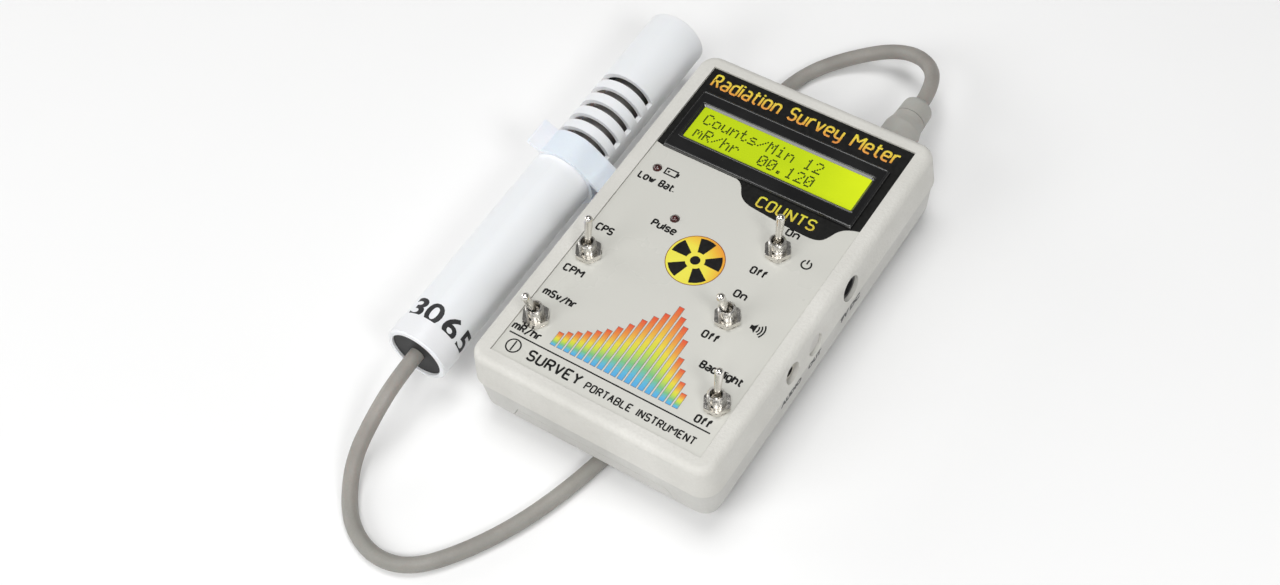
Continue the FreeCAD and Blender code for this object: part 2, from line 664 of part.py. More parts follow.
save("upper_case", upperCase())
save("lower_case", lowerCase())
save("battery_door", batteryDoor())
save("rubber_feet", rubberFeet())
save("case_screws", caseScrews())
save("panel_label", panelLabel())
save("lcd_frame", lcdFrame())
save("lcd_window", lcdInside(0.6, panelTop + lcdStandsProud - 2.6, panelTop + lcdStandsProud - 0.75))
save("lcd_backlight", lcdInside(0.7, lcdBoardTop, panelTop + lcdStandsProud - 2.65))
save("lcd_board", lcdBoard())
save("lcd_pins", lcdPins())
save("lcd_standoffs", lcdStandoffs())
save("lcd_screws", lcdScrews())

for name, (x, y) in switchPlaces.items():
    save(name + "_lever", lever(x, y, leverRest[name]))
save("switch_bushings", group([switchBushing(x, y) for x, y in switchPlaces.values()]))
save("switch_bodies", group([switchBody(x, y) for x, y in switchPlaces.values()]))
save("switch_pins", group([pin for x, y in switchPlaces.values() for pin in switchPins(x, y)]))
save("switch_nuts", group([hexNut(x, y, panelTop + washerThick) for x, y in switchPlaces.values()]))
save("switch_washers", group([ring(washerRadius, bushRadius + 0.02, (x, y, panelTop),
                                   (x, y, panelTop + washerThick)) for x, y in switchPlaces.values()]))
for name, (x, y) in ledPlaces.items():
    save(name + "_led", led(x, y))

save("main_board", mainBoard())
save("board_screws", boardScrews())
chip, chipLegs = microcontroller()
save("microcontroller", chip)
save("microcontroller_legs", chipLegs)
save("buzzer", buzzer())
save("hv_transformer", transformer())
save("hv_capacitors", capacitors())
save("dc_jack", dcJack())
save("dc_jack_pin", dcPin())
save("audio_jack_body", audioJackBody())
save("audio_jack_nose", audioJackNose())
save("port_plug", portPlug())
save("probe_socket", dinSocket())
save("battery_9v", battery())
save("battery_snap", batterySnap())
save("battery_lead_red", batteryLead(24.4, -58.0))
save("battery_lead_black", batteryLead(22.4, -50.0))

save("plug_body", plugBody())
save("plug_shell", plugShell())
save("plug_pins", plugPins())
save("probe_cord", tube(cordRoute, cordRadius, "cord"))

save("wand_tube", wandTube())
save("wand_collar", wandCollar())
save("wand_end_plug", wandEndPlug())
save("wand_nose_cap", wandNoseCap())
save("gm_tube", gmTube())
save("gm_tube_rings", gmRings())
save("wand_board", wandBoard())
save("wand_clip", wandClip())
save("clip_screw", clipScrew())
print("case centre", round(caseX, 3), round(caseY, 3))
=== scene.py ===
import math
import bmesh
import bpy
from mathutils import Matrix, Vector


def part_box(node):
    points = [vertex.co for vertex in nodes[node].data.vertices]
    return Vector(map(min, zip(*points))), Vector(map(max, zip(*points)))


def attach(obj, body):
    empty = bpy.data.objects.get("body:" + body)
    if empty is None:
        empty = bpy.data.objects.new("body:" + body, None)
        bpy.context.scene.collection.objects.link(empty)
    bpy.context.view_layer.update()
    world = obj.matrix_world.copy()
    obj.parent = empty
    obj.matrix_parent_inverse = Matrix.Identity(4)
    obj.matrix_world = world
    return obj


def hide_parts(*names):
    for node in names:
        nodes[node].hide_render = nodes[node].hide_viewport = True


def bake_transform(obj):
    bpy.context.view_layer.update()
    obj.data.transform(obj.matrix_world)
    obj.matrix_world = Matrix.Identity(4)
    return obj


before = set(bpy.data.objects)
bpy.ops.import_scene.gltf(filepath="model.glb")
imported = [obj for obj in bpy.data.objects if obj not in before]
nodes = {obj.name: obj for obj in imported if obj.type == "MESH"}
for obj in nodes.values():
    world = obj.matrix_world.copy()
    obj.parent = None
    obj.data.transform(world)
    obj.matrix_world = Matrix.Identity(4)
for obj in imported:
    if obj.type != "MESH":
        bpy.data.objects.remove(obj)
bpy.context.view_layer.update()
scene = bpy.context.scene
scene.view_settings.view_transform = "Standard"
mm = 0.001

labelLow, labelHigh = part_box("panel_label")
caseMid = Vector(((labelLow.x + labelHigh.x) / 2, (labelLow.y + labelHigh.y) / 2, 0))
panelTop = labelHigh.z


def onPanel(x, y, rise=0.0):
    return Vector((caseMid.x + x * mm, caseMid.y + y * mm, panelTop + rise * mm))


def fromCaseMid(x, y, z):
    return Vector((caseMid.x + x * mm, caseMid.y + y * mm, z * mm))


print("stage 1: camera")
cameraSetup = {
    "place": (0.2349, -0.3011, 0.5382),
    "right": (0.834, 0.545, -0.084),
    "up": (-0.409, 0.713, 0.570),
    "lens": 54.24,
    "sensor": 36.0,
    "clip": (0.01, 20.0),
}


def addCamera(setup):
    lensData = bpy.data.cameras.new("camera")
    lensData.lens, lensData.sensor_width = setup["lens"], setup["sensor"]
    lensData.clip_start, lensData.clip_end = setup["clip"]
    camera = bpy.data.objects.new("camera", lensData)
    scene.collection.objects.link(camera)
    right = Vector(setup["right"]).normalized()
    up = Vector(setup["up"])
    up = (up - right * up.dot(right)).normalized()
    turn = Matrix((right, up, right.cross(up))).transposed().to_4x4()
    camera.matrix_world = Matrix.Translation(setup["place"]) @ turn
    scene.camera = camera


addCamera(cameraSetup)


# ways of making a mesh piece

def addPiece(name, mesh, body, finish=None):
    piece = bpy.data.objects.new(name, mesh)
    scene.collection.objects.link(piece)
    if finish:
        mesh.materials.clear()
        mesh.materials.append(finish)
    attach(piece, body)
    return piece


def frozenMesh(piece, name):
    # the evaluated shape as a plain mesh; the piece it came from is thrown away
    bpy.context.view_layer.update()
    graph = bpy.context.evaluated_depsgraph_get()
    mesh = bpy.data.meshes.new_from_object(piece.evaluated_get(graph), depsgraph=graph)
    mesh.name = name
    bpy.data.objects.remove(piece)
    return mesh


def tidyMesh(mesh):
    # doubles merged and every face turned outwards
    work = bmesh.new()
    work.from_mesh(mesh)
    bmesh.ops.remove_doubles(work, verts=work.verts, dist=1e-7)
    bmesh.ops.recalc_face_normals(work, faces=work.faces)
    work.to_mesh(mesh)
    work.free()
    return mesh


def inkMesh(name, loops, thick):
    # a flat printed shape: the first loop is its outline, the others are holes or islands
    shape = bpy.data.curves.new(name, "CURVE")
    shape.dimensions, shape.fill_mode, shape.extrude = "2D", "BOTH", thick * mm / 2
    for loop in loops:
        spline = shape.splines.new("POLY")
        spline.points.add(len(loop) - 1)
        for point, (x, y) in zip(spline.points, loop):
            point.co = (x * mm, y * mm, 0, 1)
        spline.use_cyclic_u = True
    piece = bpy.data.objects.new(name, shape)
    scene.collection.objects.link(piece)
    return tidyMesh(frozenMesh(piece, name))


fontSlab = 0.02   # thickness of the font's letters before they are scaled


def wordsMesh(name, words, width, tall, thick, bold):
    # words as a thin slab about their own middle; without a height they keep their shape
    shape = bpy.data.curves.new(name, "FONT")
    shape.body, shape.size, shape.resolution_u = words, 1.0, 4
    shape.offset, shape.extrude = bold, fontSlab / 2
    piece = bpy.data.objects.new(name, shape)
    scene.collection.objects.link(piece)
    mesh = tidyMesh(frozenMesh(piece, name))
    xs, ys = [v.co.x for v in mesh.vertices], [v.co.y for v in mesh.vertices]
    scaleX = width * mm / (max(xs) - min(xs))
    scaleY = tall * mm / (max(ys) - min(ys)) if tall else scaleX
    middle = Matrix.Translation((-(max(xs) + min(xs)) / 2, -(max(ys) + min(ys)) / 2, 0))
    mesh.transform(Matrix.Diagonal((scaleX, scaleY, thick * mm / fontSlab, 1)) @ middle)
    return mesh


def arcPoints(x, y, radius, start, end, count):
    angles = [math.radians(start + (end - start) * i / count) for i in range(count + 1)]
    return [(x + radius * math.cos(angle), y + radius * math.sin(angle)) for angle in angles]


def circlePoints(x, y, radius, count=64):
    return arcPoints(x, y, radius, 0, 360, count)[:-1]


def arcBand(x, y, inner, outer, start, end, count=16):
    return arcPoints(x, y, outer, start, end, count) + arcPoints(x, y, inner, end, start, count)


def rectPoints(x0, y0, x1, y1):
    return [(x0, y0), (x1, y0), (x1, y1), (x0, y1)]


def bezierPoints(a, b, c, d, count=14):
    points = []
    for i in range(count):
        t = i / count
        weights = ((1 - t) ** 3, 3 * t * (1 - t) ** 2, 3 * t * t * (1 - t), t ** 3)
        points.append(tuple(sum(w * p[k] for w, p in zip(weights, (a, b, c, d))) for k in (0, 1)))
    return points


# ways of making a finish

def newFinish(name, colour, rough, metal=0.0, **sockets):
    finish = bpy.data.materials.new(name)
    finish.use_nodes = True
    shader = finish.node_tree.nodes["Principled BSDF"]
    shader.inputs["Base Color"].default_value = (*colour, 1)
    shader.inputs["Roughness"].default_value = rough
    shader.inputs["Metallic"].default_value = metal
    for label, value in sockets.items():
        shader.inputs[label.replace("_", " ")].default_value = value
    return finish


def addNode(finish, kind, **values):
    node = finish.node_tree.nodes.new(kind)
    for label, value in values.items():
        if hasattr(node, label):
            setattr(node, label, value)
        else:
            node.inputs[label.replace("_", " ")].default_value = value
    return node


def wire(finish, output, entry):
    finish.node_tree.links.new(output, entry)


def placeVector(finish, stretch=(1, 1, 1), offset=(0, 0, 0)):
    coords = addNode(finish, "ShaderNodeTexCoord")
    mapping = addNode(finish, "ShaderNodeMapping", Scale=stretch, Location=offset)
    wire(finish, coords.outputs["Object"], mapping.inputs["Vector"])
    return mapping.outputs["Vector"]


def noise(finish, vector, scale, detail=3.0, rough=0.5):
    node = addNode(finish, "ShaderNodeTexNoise", Scale=scale, Detail=detail, Roughness=rough)
    wire(finish, vector, node.inputs["Vector"])
    return node.outputs["Fac"]


def rangeOf(finish, value, low, high, fromLow=0.3, fromHigh=0.7):
    node = addNode(finish, "ShaderNodeMapRange", From_Min=fromLow, From_Max=fromHigh,
                   To_Min=low, To_Max=high)
    wire(finish, value, node.inputs["Value"])
    return node.outputs["Result"]


def blendColours(finish, factor, first, second):
    node = addNode(finish, "ShaderNodeMix", data_type="RGBA")
    colours = [entry for entry in node.inputs if entry.type == "RGBA"]
    for entry, colour in zip(colours, (first, second)):
        if isinstance(colour, tuple):
            entry.default_value = (*colour, 1)
        else:
            wire(finish, colour, entry)
    wire(finish, factor, node.inputs[0])
    return [output for output in node.outputs if output.type == "RGBA"][0]


def bumpFrom(finish, height, strength, distance):
    node = addNode(finish, "ShaderNodeBump", Strength=strength, Distance=distance)
    wire(finish, height, node.inputs["Height"])
    return node.outputs["Normal"]


def splitOf(finish, vector, axis):
    node = addNode(finish, "ShaderNodeSeparateXYZ")
    wire(finish, vector, node.inputs["Vector"])
    return node.outputs[axis]


def rampOf(finish, factor, stops):
    # stops are places and colours, in order
    node = addNode(finish, "ShaderNodeValToRGB")
    marks = node.color_ramp.elements
    for mark, (place, colour) in zip((marks[0], marks[1]), (stops[0], stops[-1])):
        mark.position, mark.color = place, (*colour, 1)
    for place, colour in stops[1:-1]:
        marks.new(place).color = (*colour, 1)
    wire(finish, factor, node.inputs["Fac"])
    return node.outputs["Color"]


def intoShader(finish, label, output):
    wire(finish, output, finish.node_tree.nodes["Principled BSDF"].inputs[label])


def mouldedFinish(name, colour, deeper, rough, grain, depth, handling=60.0, **sockets):
    # moulded plastic or rubber: slow shift of tone, fine eroded grain, gloss worn unevenly by hands
    finish = newFinish(name, colour, rough, **sockets)
    place = placeVector(finish)
    slow = noise(finish, place, handling, 4)
    fine = noise(finish, place, grain, 2, 0.6)
    tone = blendColours(finish, rangeOf(finish, slow, 0, 0.8), colour, deeper)
    speckled = blendColours(finish, rangeOf(finish, fine, 0, 0.35, 0.35, 0.75), tone, deeper)
    intoShader(finish, "Base Color", speckled)
    intoShader(finish, "Roughness", rangeOf(finish, slow, rough - 0.07, rough + 0.07))
    intoShader(finish, "Normal", bumpFrom(finish, fine, 0.5, depth))
    return finish


def metalFinish(name, colour, rough, lines, stretch, depth=0.00002):
    # plated or turned metal: fine lines from the tool and duller patches
    finish = newFinish(name, colour, rough, 1.0)
    place = placeVector(finish, stretch)
    fine = noise(finish, place, lines, 3, 0.6)
    slow = noise(finish, placeVector(finish), 220, 3)
    intoShader(finish, "Base Color", blendColours(
        finish, rangeOf(finish, slow, 0, 0.6), colour, tuple(c * 0.8 for c in colour)))
    intoShader(finish, "Roughness", rangeOf(finish, fine, rough - 0.06, rough + 0.1))
    intoShader(finish, "Normal", bumpFrom(finish, fine, 0.35, depth))
    return finish


def paint(finish, *names):
    for name in names:
        nodes[name].data.materials.clear()
        nodes[name].data.materials.append(finish)


print("stage 2: cord")
cordPlan = {
    "radius": 2.65,
    "length": 0.421,
    "route": [
        (-66.2, -72.0, 20.4), (-66.2, -85.0, 20.4), (-67.0, -98.0, 15.0), (-66.8, -111.5, 8.0),
        (-61.0, -123.5, 2.65), (-52.5, -131.2, 2.65), (-40.8, -135.0, 2.65), (-29.0, -131.5, 2.65),
        (-18.5, -119.0, 2.65), (-9.0, -102.0, 2.65), (-2.4, -83.0, 2.65), (2.1, -63.5, 2.65),
        (5.2, -43.0, 2.65), (6.2, -22.0, 2.65), (4.0, 0.0, 2.65), (-2.0, 21.0, 2.65),
        (-11.0, 39.0, 2.65), (-20.5, 55.5, 2.65), (-27.0, 72.0, 2.65), (-28.8, 88.5, 2.65),
        (-24.5, 104.5, 2.65), (-14.0, 116.5, 4.5), (1.5, 124.0, 10.0), (16.0, 119.5, 17.0),
        (26.0, 106.5, 22.4), (26.0, 93.0, 22.4)],
    "grey": (0.31, 0.3, 0.275),
    "darker": (0.23, 0.225, 0.205),
    "bendsFrom": (-66.0, -95.0, 10.0),
    "bendsTo": (-34.0, -95.0, 10.0),
}

cordGrey = mouldedFinish("cordGrey", cordPlan["grey"], cordPlan["darker"], 0.5, 1500, 0.00003, 90,
                         Subsurface_Weight=0.04)


def cordCurve(plan, bevel):
    shape = bpy.data.curves.new("cordLine", "CURVE")
    shape.dimensions, shape.resolution_u = "3D", 10
    spline = shape.splines.new("NURBS")
    spline.points.add(len(plan["route"]) - 1)
    for point, corner in zip(spline.points, plan["route"]):
        point.co = (*fromCaseMid(*corner), 1)
    spline.order_u = 3
    spline.use_endpoint_u = True
    if bevel:
        shape.bevel_depth, shape.bevel_resolution, shape.use_fill_caps = bevel * mm, 6, True
    piece = bpy.data.objects.new("cordLine", shape)
    scene.collection.objects.link(piece)
    return frozenMesh(piece, "probeCord")


def addCord(plan):
    path = [tuple(v.co) for v in cordCurve(plan, 0).vertices]
    mesh = tidyMesh(cordCurve(plan, plan["radius"]))
    mesh.polygons.foreach_set("use_smooth", [True] * len(mesh.polygons))
    mesh.materials.append(cordGrey)
    cord = bpy.data.objects.new("cord_flex", mesh)
    scene.collection.objects.link(cord)
    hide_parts("probe_cord")
    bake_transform(cord)


addCord(cordPlan)


print("stage 3: floor and light")
studio = {
    "floorSize": 4.0,
    "floorWhite": (0.9, 0.9, 0.897),
    "lights": {   # direction, reach, size and power of each soft box
        "keyLight": ((0.62, -0.33, 0.71), 1.3, 0.34, 4.2),
        "frontLight": ((-0.34, -0.74, 0.58), 1.6, 0.9, 7.6),
        "viewLight": ((0.2, -0.52, 0.83), 1.5, 0.5, 4.4),
        "topLight": ((-0.05, 0.1, 0.98), 1.5, 0.8, 8.9),
        "leftLight": ((-0.93, -0.12, 0.3), 1.5, 0.9, 4.6),
    },
    "skyLow": 0.42, "skyHigh": 0.11, "skyFrom": 0.15, "skyTo": 0.55,
}


def addFloor(setup):
    half = setup["floorSize"] / 2
    corners = [(-half, -half, 0), (half, -half, 0), (half, half, 0), (-half, half, 0)]
    mesh = bpy.data.meshes.new("floor")
    mesh.from_pydata(corners, [], [(0, 1, 2, 3)])
    floor = bpy.data.objects.new("floor", mesh)
    scene.collection.objects.link(floor)
    white = newFinish("floorWhite", setup["floorWhite"], 0.8)
    place = placeVector(white)
    intoShader(white, "Roughness", rangeOf(white, noise(white, place, 30, 3), 0.75, 0.9))
    mesh.materials.append(white)


def addLight(name, direction, reach, size, power):
    lamp = bpy.data.lights.new(name, "AREA")
    lamp.shape, lamp.size, lamp.energy = "DISK", size, power
    light = bpy.data.objects.new(name, lamp)
    scene.collection.objects.link(light)
    way = Vector(direction).normalized()
    light.location = caseMid + way * reach
    light.rotation_mode = "QUATERNION"
    light.rotation_quaternion = way.to_track_quat("Z", "Y")


def addSky(setup):
    # white walls all round, darker overhead
    world = bpy.data.worlds.new("studioSky")
    world.use_nodes = True
    back = world.node_tree.nodes["Background"]
    back.inputs["Color"].default_value = (1, 1, 1, 1)
    coords, split, level = [world.node_tree.nodes.new(kind) for kind in (
        "ShaderNodeTexCoord", "ShaderNodeSeparateXYZ", "ShaderNodeMapRange")]
    limits = {"From Min": "skyFrom", "From Max": "skyTo", "To Min": "skyLow", "To Max": "skyHigh"}
    for label, key in limits.items():
        level.inputs[label].default_value = setup[key]
    world.node_tree.links.new(coords.outputs["Generated"], split.inputs["Vector"])
    world.node_tree.links.new(split.outputs["Z"], level.inputs["Value"])
    world.node_tree.links.new(level.outputs["Result"], back.inputs["Strength"])
    scene.world = world


addFloor(studio)
for lightName, lightSetup in studio["lights"].items():
    addLight(lightName, *lightSetup)
addSky(studio)


print("stage 4: finishes of the machined and moulded parts")
# moulded: colour, deeper tone, roughness, grain, depth of the grain, and how fast the tone shifts
caseGrey = mouldedFinish("caseGrey", (0.68, 0.67, 0.63), (0.56, 0.55, 0.51), 0.52, 1000, 0.00026, 40)
# lower shell and battery door: the upper shell's plastic painted darker, partly as painted shade on the
# lower walls
shadedLowerGrey = mouldedFinish("shadedLowerGrey", (0.62, 0.615, 0.585), (0.48, 0.475, 0.45),
                          0.54, 1000, 0.00026, 40)
panelGrey = mouldedFinish("panelGrey", (0.615, 0.61, 0.565), (0.585, 0.58, 0.535),
                          0.3, 2400, 0.00001, 25, Coat_Weight=0.25, Coat_Roughness=0.18)
frameBlack = mouldedFinish("frameBlack", (0.004, 0.004, 0.0045), (0.009, 0.009, 0.009),
                           0.2, 700, 0.000012, 50, Coat_Weight=0.8, Coat_Roughness=0.05, Coat_IOR=1.65)
plainBlack = mouldedFinish("plainBlack", (0.018, 0.018, 0.019), (0.03, 0.03, 0.03), 0.45, 1300, 0.00004)
endBlack = mouldedFinish("endBlack", (0.011, 0.011, 0.012), (0.03, 0.03, 0.031),
                         0.55, 900, 0.00004, 120, Specular_IOR_Level=0.3)
plugGrey = mouldedFinish("plugGrey", (0.4, 0.395, 0.365), (0.33, 0.325, 0.3),
                         0.48, 1500, 0.00003, 90, Subsurface_Weight=0.04)
footRubber = mouldedFinish("footRubber", (0.03, 0.03, 0.032), (0.06, 0.06, 0.06),
                           0.75, 1200, 0.00008, 150)
wandWhite = mouldedFinish("wandWhite", (0.87, 0.87, 0.88), (0.82, 0.82, 0.83),
                          0.36, 1600, 0.00002, 35, Subsurface_Weight=0.05)
clipNylon = mouldedFinish("clipNylon", (0.87, 0.885, 0.93), (0.8, 0.82, 0.88),
                          0.38, 1400, 0.00003, 60, Subsurface_Weight=0.15)
blankGrey = mouldedFinish("blankGrey", (0.63, 0.62, 0.59), (0.55, 0.54, 0.51), 0.5, 1300, 0.00004, 70)
leadRed = mouldedFinish("leadRed", (0.5, 0.02, 0.015), (0.38, 0.015, 0.01), 0.4, 1500, 0.00002)
leadBlack = mouldedFinish("leadBlack", (0.02, 0.02, 0.02), (0.035, 0.035, 0.035), 0.4, 1500, 0.00002)

# metal: colour, roughness, tool lines, how the lines are stretched, and their depth
nickel = metalFinish("nickel", (0.78, 0.755, 0.71), 0.16, 900, (1, 1, 4))
bushNickel = metalFinish("bushNickel", (0.66, 0.64, 0.6), 0.27, 1200, (1, 1, 5), 0.00004)
pinMetal = metalFinish("pinMetal", (0.8, 0.68, 0.4), 0.25, 900, (4, 1, 1))
screwSteel = metalFinish("screwSteel", (0.52, 0.52, 0.53), 0.3, 1400, (1, 1, 3))
tubeMetal = metalFinish("tubeMetal", (0.34, 0.335, 0.33), 0.45, 260, (1, 0.2, 1), 0.0003)
canMetal = metalFinish("canMetal", (0.6, 0.6, 0.62), 0.3, 700, (1, 1, 2))


boardLook = {"lacquer": (0.01, 0.11, 0.04), "track": (0.03, 0.2, 0.07)}


def addBoardFinish(look):
    # green lacquer over copper tracks
    board = newFinish("boardGreen", look["lacquer"], 0.3, Coat_Weight=0.4, Coat_Roughness=0.15)
    place = placeVector(board, (1, 1, 0.02))
    tracks = addNode(board, "ShaderNodeTexBrick", Scale=160.0, Mortar_Size=0.03, Brick_Width=0.9,
                     Row_Height=0.32)
    wire(board, place, tracks.inputs["Vector"])
    intoShader(board, "Base Color", blendColours(
        board, tracks.outputs["Fac"], look["lacquer"], look["track"]))
    intoShader(board, "Roughness", rangeOf(board, noise(board, place, 300), 0.25, 0.4))
    intoShader(board, "Normal", bumpFrom(board, tracks.outputs["Fac"], 0.4, 0.00005))
    return board


batteryLook = {"jacket": (0.03, 0.03, 0.035), "copper": (0.5, 0.22, 0.07), "bandFrom": 12.0,
               "bandEdge": 0.2}


def addBatteryFinish(look):
    # a dark jacket with a copper-coloured band at one end
    jacket = newFinish("batteryJacket", look["jacket"], 0.3)
    place = placeVector(jacket)
    low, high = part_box("battery_9v")
    edge = (low.x + high.x) / 2 + look["bandFrom"] * mm
    band = rangeOf(jacket, splitOf(jacket, place, "X"), 0, 1, edge, edge + look["bandEdge"] * mm)
    intoShader(jacket, "Base Color", blendColours(jacket, band, look["jacket"], look["copper"]))
    intoShader(jacket, "Roughness", rangeOf(jacket, noise(jacket, place, 400), 0.25, 0.4))
    intoShader(jacket, "Normal", bumpFrom(jacket, noise(jacket, place, 700), 0.3, 0.00002))
    return jacket


lensLook = {"base": (0.09, 0.008, 0.008), "red": (0.1, 0.009, 0.008), "dark": (0.035, 0.006, 0.006)}


def addLensFinish(look):
    lens = newFinish("ledLens", look["base"], 0.12, Transmission_Weight=0.35, IOR=1.5,
                     Coat_Weight=0.8, Coat_Roughness=0.05)
    place = placeVector(lens)
    cloud = noise(lens, place, 900, 2)
    intoShader(lens, "Base Color", blendColours(
        lens, rangeOf(lens, cloud, 0, 1), look["red"], look["dark"]))
    intoShader(lens, "Roughness", rangeOf(lens, cloud, 0.08, 0.2))
    return lens


displayLook = {
    "lime": (0.37, 0.48, 0.003),
    "bright": (0.5, 0.6, 0.006),
    "glow": 0.42,
    "left": -32.0, "width": 64.0,
    "cloud": 0.12,
}

def addDisplayFinish(look):
    # lit glass, brighter toward the lamps at its right-hand end
    glass = newFinish("displayGlass", look["lime"], 0.22, Coat_Weight=0.5, Coat_Roughness=0.08,
                      Emission_Strength=look["glow"])
    place = placeVector(glass)
    left = onPanel(look["left"], 0).x
    along = rangeOf(glass, splitOf(glass, place, "X"), 0, 1, left, left + look["width"] * mm)
    cloud = rangeOf(glass, noise(glass, place, 45, 2), -look["cloud"], look["cloud"])
    total = addNode(glass, "ShaderNodeMath", operation="ADD")
    wire(glass, along, total.inputs[0])
    wire(glass, cloud, total.inputs[1])
    shade = rampOf(glass, total.outputs["Value"], [
        (0.0, look["lime"]), (0.5, look["lime"]), (1.0, look["bright"])])
    intoShader(glass, "Base Color", shade)
    intoShader(glass, "Emission Color", shade)
    intoShader(glass, "Normal", bumpFrom(glass, noise(glass, place, 1500, 1), 0.1, 0.00001))
    return glass


boardGreen, batteryJacket = addBoardFinish(boardLook), addBatteryFinish(batteryLook)
ledLens = addLensFinish(lensLook)
displayGlass = addDisplayFinish(displayLook)
backlightGlow = mouldedFinish("backlightGlow", (0.5, 0.7, 0.05), (0.4, 0.6, 0.03), 0.5, 800, 0.00001)

paint(caseGrey, "upper_case")
paint(shadedLowerGrey, "lower_case", "battery_door")
paint(footRubber, "rubber_feet")
paint(panelGrey, "panel_label")
paint(frameBlack, "lcd_frame")
paint(displayGlass, "lcd_window")
paint(backlightGlow, "lcd_backlight")
paint(boardGreen, "lcd_board", "main_board", "wand_board")
paint(pinMetal, "lcd_pins", "switch_pins", "dc_jack_pin", "plug_pins")
paint(screwSteel, "case_screws", "lcd_screws", "board_screws", "clip_screw", "microcontroller_legs")
paint(canMetal, "lcd_standoffs", "hv_capacitors", "hv_transformer", "plug_shell")
paint(nickel, "power_lever", "sound_lever", "backlight_lever", "count_lever", "unit_lever",
      "switch_nuts", "switch_washers", "audio_jack_nose")
paint(bushNickel, "switch_bushings")
paint(plainBlack, "switch_bodies", "microcontroller", "buzzer", "dc_jack", "audio_jack_body",
      "probe_socket", "battery_snap")
paint(ledLens, "low_battery_led", "pulse_led")
paint(blankGrey, "port_plug")
paint(batteryJacket, "battery_9v")
paint(leadRed, "battery_lead_red")
paint(leadBlack, "battery_lead_black")
paint(cordGrey, "probe_cord")
paint(plugGrey, "plug_body")
paint(wandWhite, "wand_tube", "wand_collar", "wand_nose_cap")
paint(clipNylon, "wand_clip")
paint(endBlack, "wand_end_plug", "gm_tube_rings")
paint(tubeMetal, "gm_tube")


# Geometry Nodes helpers

socketKinds = {float: "NodeSocketFloat", int: "NodeSocketInt", tuple: "NodeSocketVector"}


class Grower:
    # one node tree with named inputs, built from left to right
    def __init__(self, name, **sizes):
        self.tree = bpy.data.node_groups.new(name, "GeometryNodeTree")
        face = self.tree.interface
        face.new_socket("Geometry", in_out="INPUT", socket_type="NodeSocketGeometry")
        for label, value in sizes.items():
            entry = face.new_socket(label, in_out="INPUT", socket_type=socketKinds[type(value)])
            entry.default_value = value
        face.new_socket("Finish", in_out="INPUT", socket_type="NodeSocketMaterial")
        face.new_socket("Geometry", in_out="OUTPUT", socket_type="NodeSocketGeometry")
        self.source = self.tree.nodes.new("NodeGroupInput")
        self.sizes = sizes

    def take(self, label):
        return self.source.outputs[label]

    def add(self, kind, entries=None, **settings):
        node = self.tree.nodes.new(kind)
        for label, value in settings.items():
            setattr(node, label, value)
        for key, value in (entries or {}).items():
            entry = node.inputs[key]
            if hasattr(value, "is_output"):
                self.tree.links.new(value, entry)
            else:
                entry.default_value = value
        return node

    def math(self, operation, first, second):
        return self.add("ShaderNodeMath", {0: first, 1: second}, operation=operation).outputs[0]

    def vector(self, x=0.0, y=0.0, z=0.0):
        return self.add("ShaderNodeCombineXYZ", {0: x, 1: y, 2: z}).outputs[0]

    def spot(self):
        return self.add("ShaderNodeSeparateXYZ", {0: self.add("GeometryNodeInputPosition").outputs[0]})

    def block(self, size, x=2, y=2, z=2):
        entries = {"Size": size, "Vertices X": x, "Vertices Y": y, "Vertices Z": z}
        return self.add("GeometryNodeMeshCube", entries).outputs["Mesh"]

    def scatter(self, points, piece, **more):
        entries = {"Points": points, "Instance": piece, **more}
        return self.add("GeometryNodeInstanceOnPoints", entries).outputs["Instances"]

    def close(self, geometry):
        real = self.add("GeometryNodeRealizeInstances", {"Geometry": geometry})
        dressed = self.add("GeometryNodeSetMaterial", {"Geometry": real.outputs["Geometry"],
                                                       "Material": self.take("Finish")})
        out = self.tree.nodes.new("NodeGroupOutput")
        self.tree.links.new(dressed.outputs["Geometry"], out.inputs["Geometry"])

    def grow(self, name, points, finish, body, slot, attributes=None, edges=(), **values):
        # the tree run on points or lines, kept as a plain mesh riding on one body
        seedMesh = bpy.data.meshes.new(name + "Seed")
        seedMesh.from_pydata([tuple(p) for p in points], list(edges), [])
        for label, numbers in (attributes or {}).items():
            layer = seedMesh.attributes.new(label, "FLOAT", "POINT")
            layer.data.foreach_set("value", numbers)
        seed = bpy.data.objects.new(name + "Seed", seedMesh)
        scene.collection.objects.link(seed)
        modifier = seed.modifiers.new("grow", "NODES")
        modifier.node_group = self.tree
        given = {**self.sizes, **values, "Finish": finish}
        for item in self.tree.interface.items_tree:
            if item.item_type == "SOCKET" and item.in_out == "INPUT" and item.name in given:
                modifier[item.identifier] = given[item.name]
        mesh = frozenMesh(seed, name)
        return addPiece(name, mesh, body)


print("stage 5: printed panel")
printLook = {
    "thick": 0.03,
    "lift": 0.03,   # of ink printed over other ink
    "black": (0.006, 0.006, 0.0055),
    "glossBlack": (0.0065, 0.0065, 0.006),
    "amberTop": (0.8, 0.72, 0.05),
    "amberMiddle": (0.8, 0.52, 0.05),
    "amberLow": (0.76, 0.27, 0.04),
    "yellow": (0.72, 0.68, 0.04),
    "yellowLow": (0.66, 0.5, 0.05),
    "fadeGrain": (0.5, 0.45, 0.3),
    "titleFrom": 59.2, "titleTo": 65.5, "tabFrom": 22.5, "tabTo": 27.0,
}


def addInkFinish(name, colour, rough=0.35):
    ink = newFinish(name, colour, rough, Specular_IOR_Level=0.25)
    place = placeVector(ink)
    patchy = noise(ink, place, 700, 3)
    intoShader(ink, "Base Color", blendColours(
        ink, rangeOf(ink, patchy, 0, 0.7), colour, tuple(min(1, c * 1.2 + 0.002) for c in colour)))
    intoShader(ink, "Roughness", rangeOf(ink, patchy, rough - 0.05, rough + 0.08))
    intoShader(ink, "Normal", bumpFrom(ink, noise(ink, place, 2400, 1), 0.2, 0.00001))
    return ink


